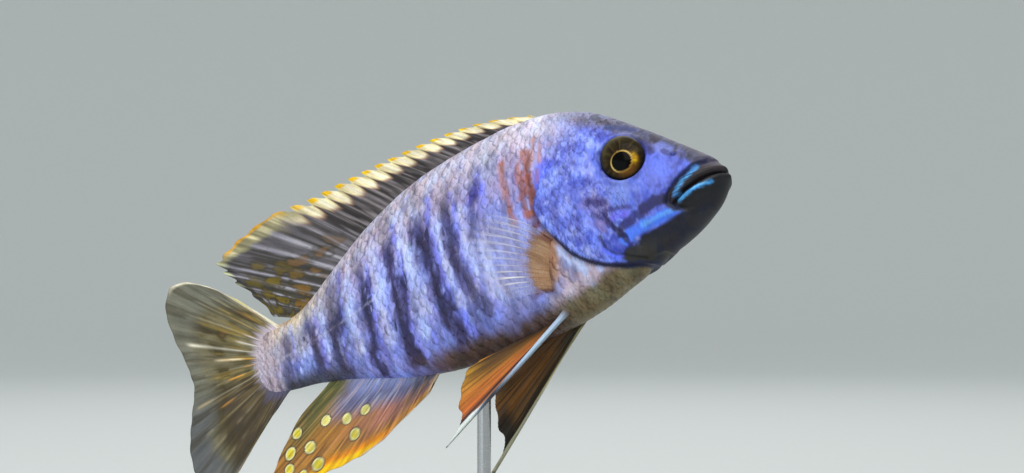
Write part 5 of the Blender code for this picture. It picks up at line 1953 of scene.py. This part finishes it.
@dataclass
class Body:
    """The skin and its coat of scales. Lengths are stations and heights."""

    form: BodyForm = field(default_factory=BodyForm)
    chest_end: float = 0.40
    face_end: float = 0.304
    eye_room: float = 0.062  # the bare skin round the eye, against the nape
    cheek_room: float = 0.056  # the same against the cheek
    margin: DrawnLine = DrawnLine(GILL_MARGIN)
    bone: DrawnLine = DrawnLine(CHEEK_BONE)

    def flank(self, s: np.ndarray, z: np.ndarray) -> np.ndarray:
        """True behind the gill cover and above the chest."""
        chest = (s < self.chest_end) & (z < self.chest_top(s))
        return (self.margin.measure(s, z)[0] > 0.006) & ~chest

    def chest(self, s: np.ndarray, z: np.ndarray) -> np.ndarray:
        """True under the gill covers."""
        return (self.margin.measure(s, z)[0] > 0.008) & (s < self.chest_end) & (z <= self.chest_top(s))

    def nape(self, s: np.ndarray, z: np.ndarray) -> np.ndarray:
        """True above and behind the eye."""
        behind = (s > 0.160) & (s < self.face_end) & (self.from_eye(s, z) > self.eye_room)
        return behind & (z > self.cover_top(s))

    def gill_cover(self, s: np.ndarray, z: np.ndarray) -> np.ndarray:
        """True on the gill cover."""
        behind = (self.bone.measure(s, z)[0] > 0.004) | (s > 0.255)
        ahead = self.margin.measure(s, z)[0] < -0.010
        return behind & ahead & (z < self.cover_top(s)) & (s > 0.205) & (z > -0.108)

    def cheek(self, s: np.ndarray, z: np.ndarray) -> np.ndarray:
        """True between the eye and the cheek bone."""
        ahead = (self.bone.measure(s, z)[0] < -0.006) & (s < 0.240) & (s > 0.166 + 0.25 * np.maximum(-z, 0))
        return ahead & (self.from_eye(s, z) > self.cheek_room) & (z < 0.060) & (z > -0.046)

    @staticmethod
    def chest_top(s: np.ndarray) -> np.ndarray:
        """Gives the height of the line between the chest and the flank."""
        return -0.118 - 0.10 * (s - 0.30)

    @staticmethod
    def cover_top(s: np.ndarray) -> np.ndarray:
        """Gives the height of the line between the gill cover and the nape."""
        return 0.118 - 0.35 * (s - 0.20)

    @staticmethod
    def from_eye(s: np.ndarray, z: np.ndarray) -> np.ndarray:
        """Gives distances from the middle of the eye."""
        return np.hypot(s - EYE_CENTRE[0], z - EYE_CENTRE[1])

    def areas(self) -> list[ScaleField]:
        """Lists the areas of scales, from the flank to the smallest on the face."""
        face = {"slot": "head_skin"}
        return [
            ScaleField("flank_scales", 0.298, 0.965, ((0.30, 1.95), (0.45, 2.20), (0.75, 2.00), (1.0, 1.45)),
                       ((0.30, 1.80), (0.45, 2.00), (0.75, 1.75), (1.0, 1.25)), self.flank, seed=5),
            ScaleField("tail_base_scales", 0.966, 1.022, ((0.96, 1.35), (1.03, 0.95)),
                       ((0.96, 1.20), (1.03, 0.85)), self.flank, lift_mm=0.03, seed=4),
            ScaleField("chest_scales", 0.19, 0.40, ((0.2, 1.15), (0.4, 1.55)), ((0.2, 1.05), (0.4, 1.45)),
                       self.chest, seed=6),
            ScaleField("nape_scales", 0.16, 0.305, ((0.15, 1.05), (0.30, 1.75)), ((0.15, 0.95), (0.30, 1.60)),
                       self.nape, lift_mm=0.025, seed=7, **face),
            ScaleField("gill_cover_scales", 0.205, 0.335, ((0.2, 1.20), (0.34, 1.50)),
                       ((0.2, 1.10), (0.34, 1.35)), self.gill_cover, lift_mm=0.022, seed=8, **face),
            ScaleField("cheek_scales", 0.165, 0.242, ((0.16, 0.95), (0.25, 1.20)),
                       ((0.16, 0.90), (0.25, 1.10)), self.cheek, lift_mm=0.022, seed=9, **face),
        ]

    def build(self) -> None:
        """Builds and dresses the skin and the scales."""
        markings = Markings(self.form)
        shimmer = {"warm": (1.07, 0.97, 0.93), "cool": (0.92, 0.99, 1.07), "stretch": (1.0, 1.0, 2.4)}
        skin_paint = PaintedResin("skin_paint", **shimmer).material()
        scale_paint = PaintedResin("scale_paint", speck_mm=0.36, speck_depth=0.30, cloud_depth=0.14,
                                   coat=0.09, coat_roughness=0.20, **shimmer).material()
        finish_piece(Skin(self.form, markings).build(), skin_paint, "head_skin", "head", "lower_jaw",
                     "gill_cover_left", "gill_cover_right", "torso", "tail_stalk")
        coat = ScaleCoat(self.form, markings)
        for area in self.areas():
            finish_piece(coat.build(area), scale_paint, area.slot)


@dataclass
class Studio:
    """Pale paper swept up all round, soft lights from above, and the camera. Sizes are in metres."""

    lens_mm: float = 85.0
    heading: float = math.radians(26.39)
    snout_from_camera: tuple[float, float, float] = (0.03899, 0.43295, 0.01288)
    floor_radius: float = 0.9
    sweep_radius: float = 0.5
    sweep_steps: int = 12
    wall_top: float = 0.75
    aim: tuple[float, float, float] = (0.0, 0.0, 0.09)
    air_colour: str = "#e6eaec"
    air_strength: float = 0.75

    def floor(self) -> None:
        """Spins the sweep's outline into one sheet of paper."""
        bm = bmesh.new()
        outline = [(0.0, 0.0), (self.floor_radius, 0.0)]
        for step in range(1, self.sweep_steps + 1):
            turn = math.pi / 2 * step / self.sweep_steps
            outline.append((self.floor_radius + self.sweep_radius * math.sin(turn),
                            self.sweep_radius * (1 - math.cos(turn))))
        outline.append((outline[-1][0], self.wall_top))
        verts = [bm.verts.new((radius, 0.0, height)) for radius, height in outline]
        edges = [bm.edges.new(pair) for pair in zip(verts, verts[1:])]
        bmesh.ops.spin(bm, geom=verts + edges, cent=(0, 0, 0), axis=(0, 0, 1), angle=2 * math.pi,
                       steps=8 * self.sweep_steps, use_merge=True)
        bmesh.ops.remove_doubles(bm, verts=bm.verts, dist=0.0001)
        bmesh.ops.recalc_face_normals(bm, faces=bm.faces)
        bm.normal_update()
        if min(bm.faces, key=lambda face: face.calc_center_median().length).normal.z < 0:
            bmesh.ops.reverse_faces(bm, faces=bm.faces)
        mesh = as_mesh("studio_floor", bm)
        mesh.materials.append(MattPaper().material())
        new_piece("studio_floor", mesh)

    def light(self, name: str, place: tuple, size: float, power: float, colour: str) -> None:
        """Adds one square soft light that faces the fish.

        Args:
            name: its name.
            place: where it hangs.
            size: how long its sides are.
            power: its power in watts.
            colour: its colour.
        """
        lamp = bpy.data.lights.new(name, "AREA")
        lamp.shape = "SQUARE"
        lamp.size = size
        lamp.energy = power
        lamp.color = tuple(linear(colour))
        holder = new_object(name, lamp)
        holder.location = place
        holder.rotation_euler = (Vector(self.aim) - Vector(place)).to_track_quat("-Z", "Y").to_euler()

    def camera(self) -> None:
        """Sets the camera where the photograph was taken from."""
        lens = bpy.data.cameras.new("camera")
        lens.lens = self.lens_mm
        lens.clip_start = 0.01
        lens.clip_end = 20.0
        holder = new_object("camera", lens)
        reach = Matrix.Rotation(self.heading, 3, "Z") @ Vector(self.snout_from_camera)
        holder.location = Vector(FishPose.SNOUT_PLACE) - reach
        holder.rotation_euler = (math.pi / 2, 0.0, self.heading)
        bpy.context.scene.camera = holder

    def build(self) -> None:
        """Sets the whole studio."""
        scene = bpy.context.scene
        scene.view_settings.view_transform = "Standard"
        world = bpy.data.worlds.new("studio_air")
        world.use_nodes = True
        fill_inputs(world.node_tree, world.node_tree.nodes["Background"],
                    {"Color": opaque(self.air_colour), "Strength": self.air_strength})
        scene.world = world
        self.floor()
        self.light("key_light", (0.12, -0.30, 0.66), 0.62, 3.1, "#fffaf2")
        self.light("fill_light", (-0.30, -0.78, 0.16), 0.70, 1.6, "#f2f6ff")
        self.light("back_light", (-0.25, 0.50, 0.55), 0.60, 1.2, "#ffffff")
        self.camera()


def main() -> None:
    """Builds the sub-assemblies in order."""
    logging.basicConfig(level=logging.INFO, format="%(name)s %(message)s")
    Studio().build()
    Body().build()
    FinSet().build()
    for side in Side:
        gloss = PaintedResin(side.named("eye_glaze"), speck_mm=0.2, speck_depth=0.10, cloud_depth=0.0,
                             skin_height_mm=0.0, roughness=(0.08, 0.13), coat=0.0, specular=0.06)
        finish_piece(Eye(side).build(), gloss.material(), "eye", side.named("eye"))
    Stand().build()


if __name__ == "__main__":
    main()
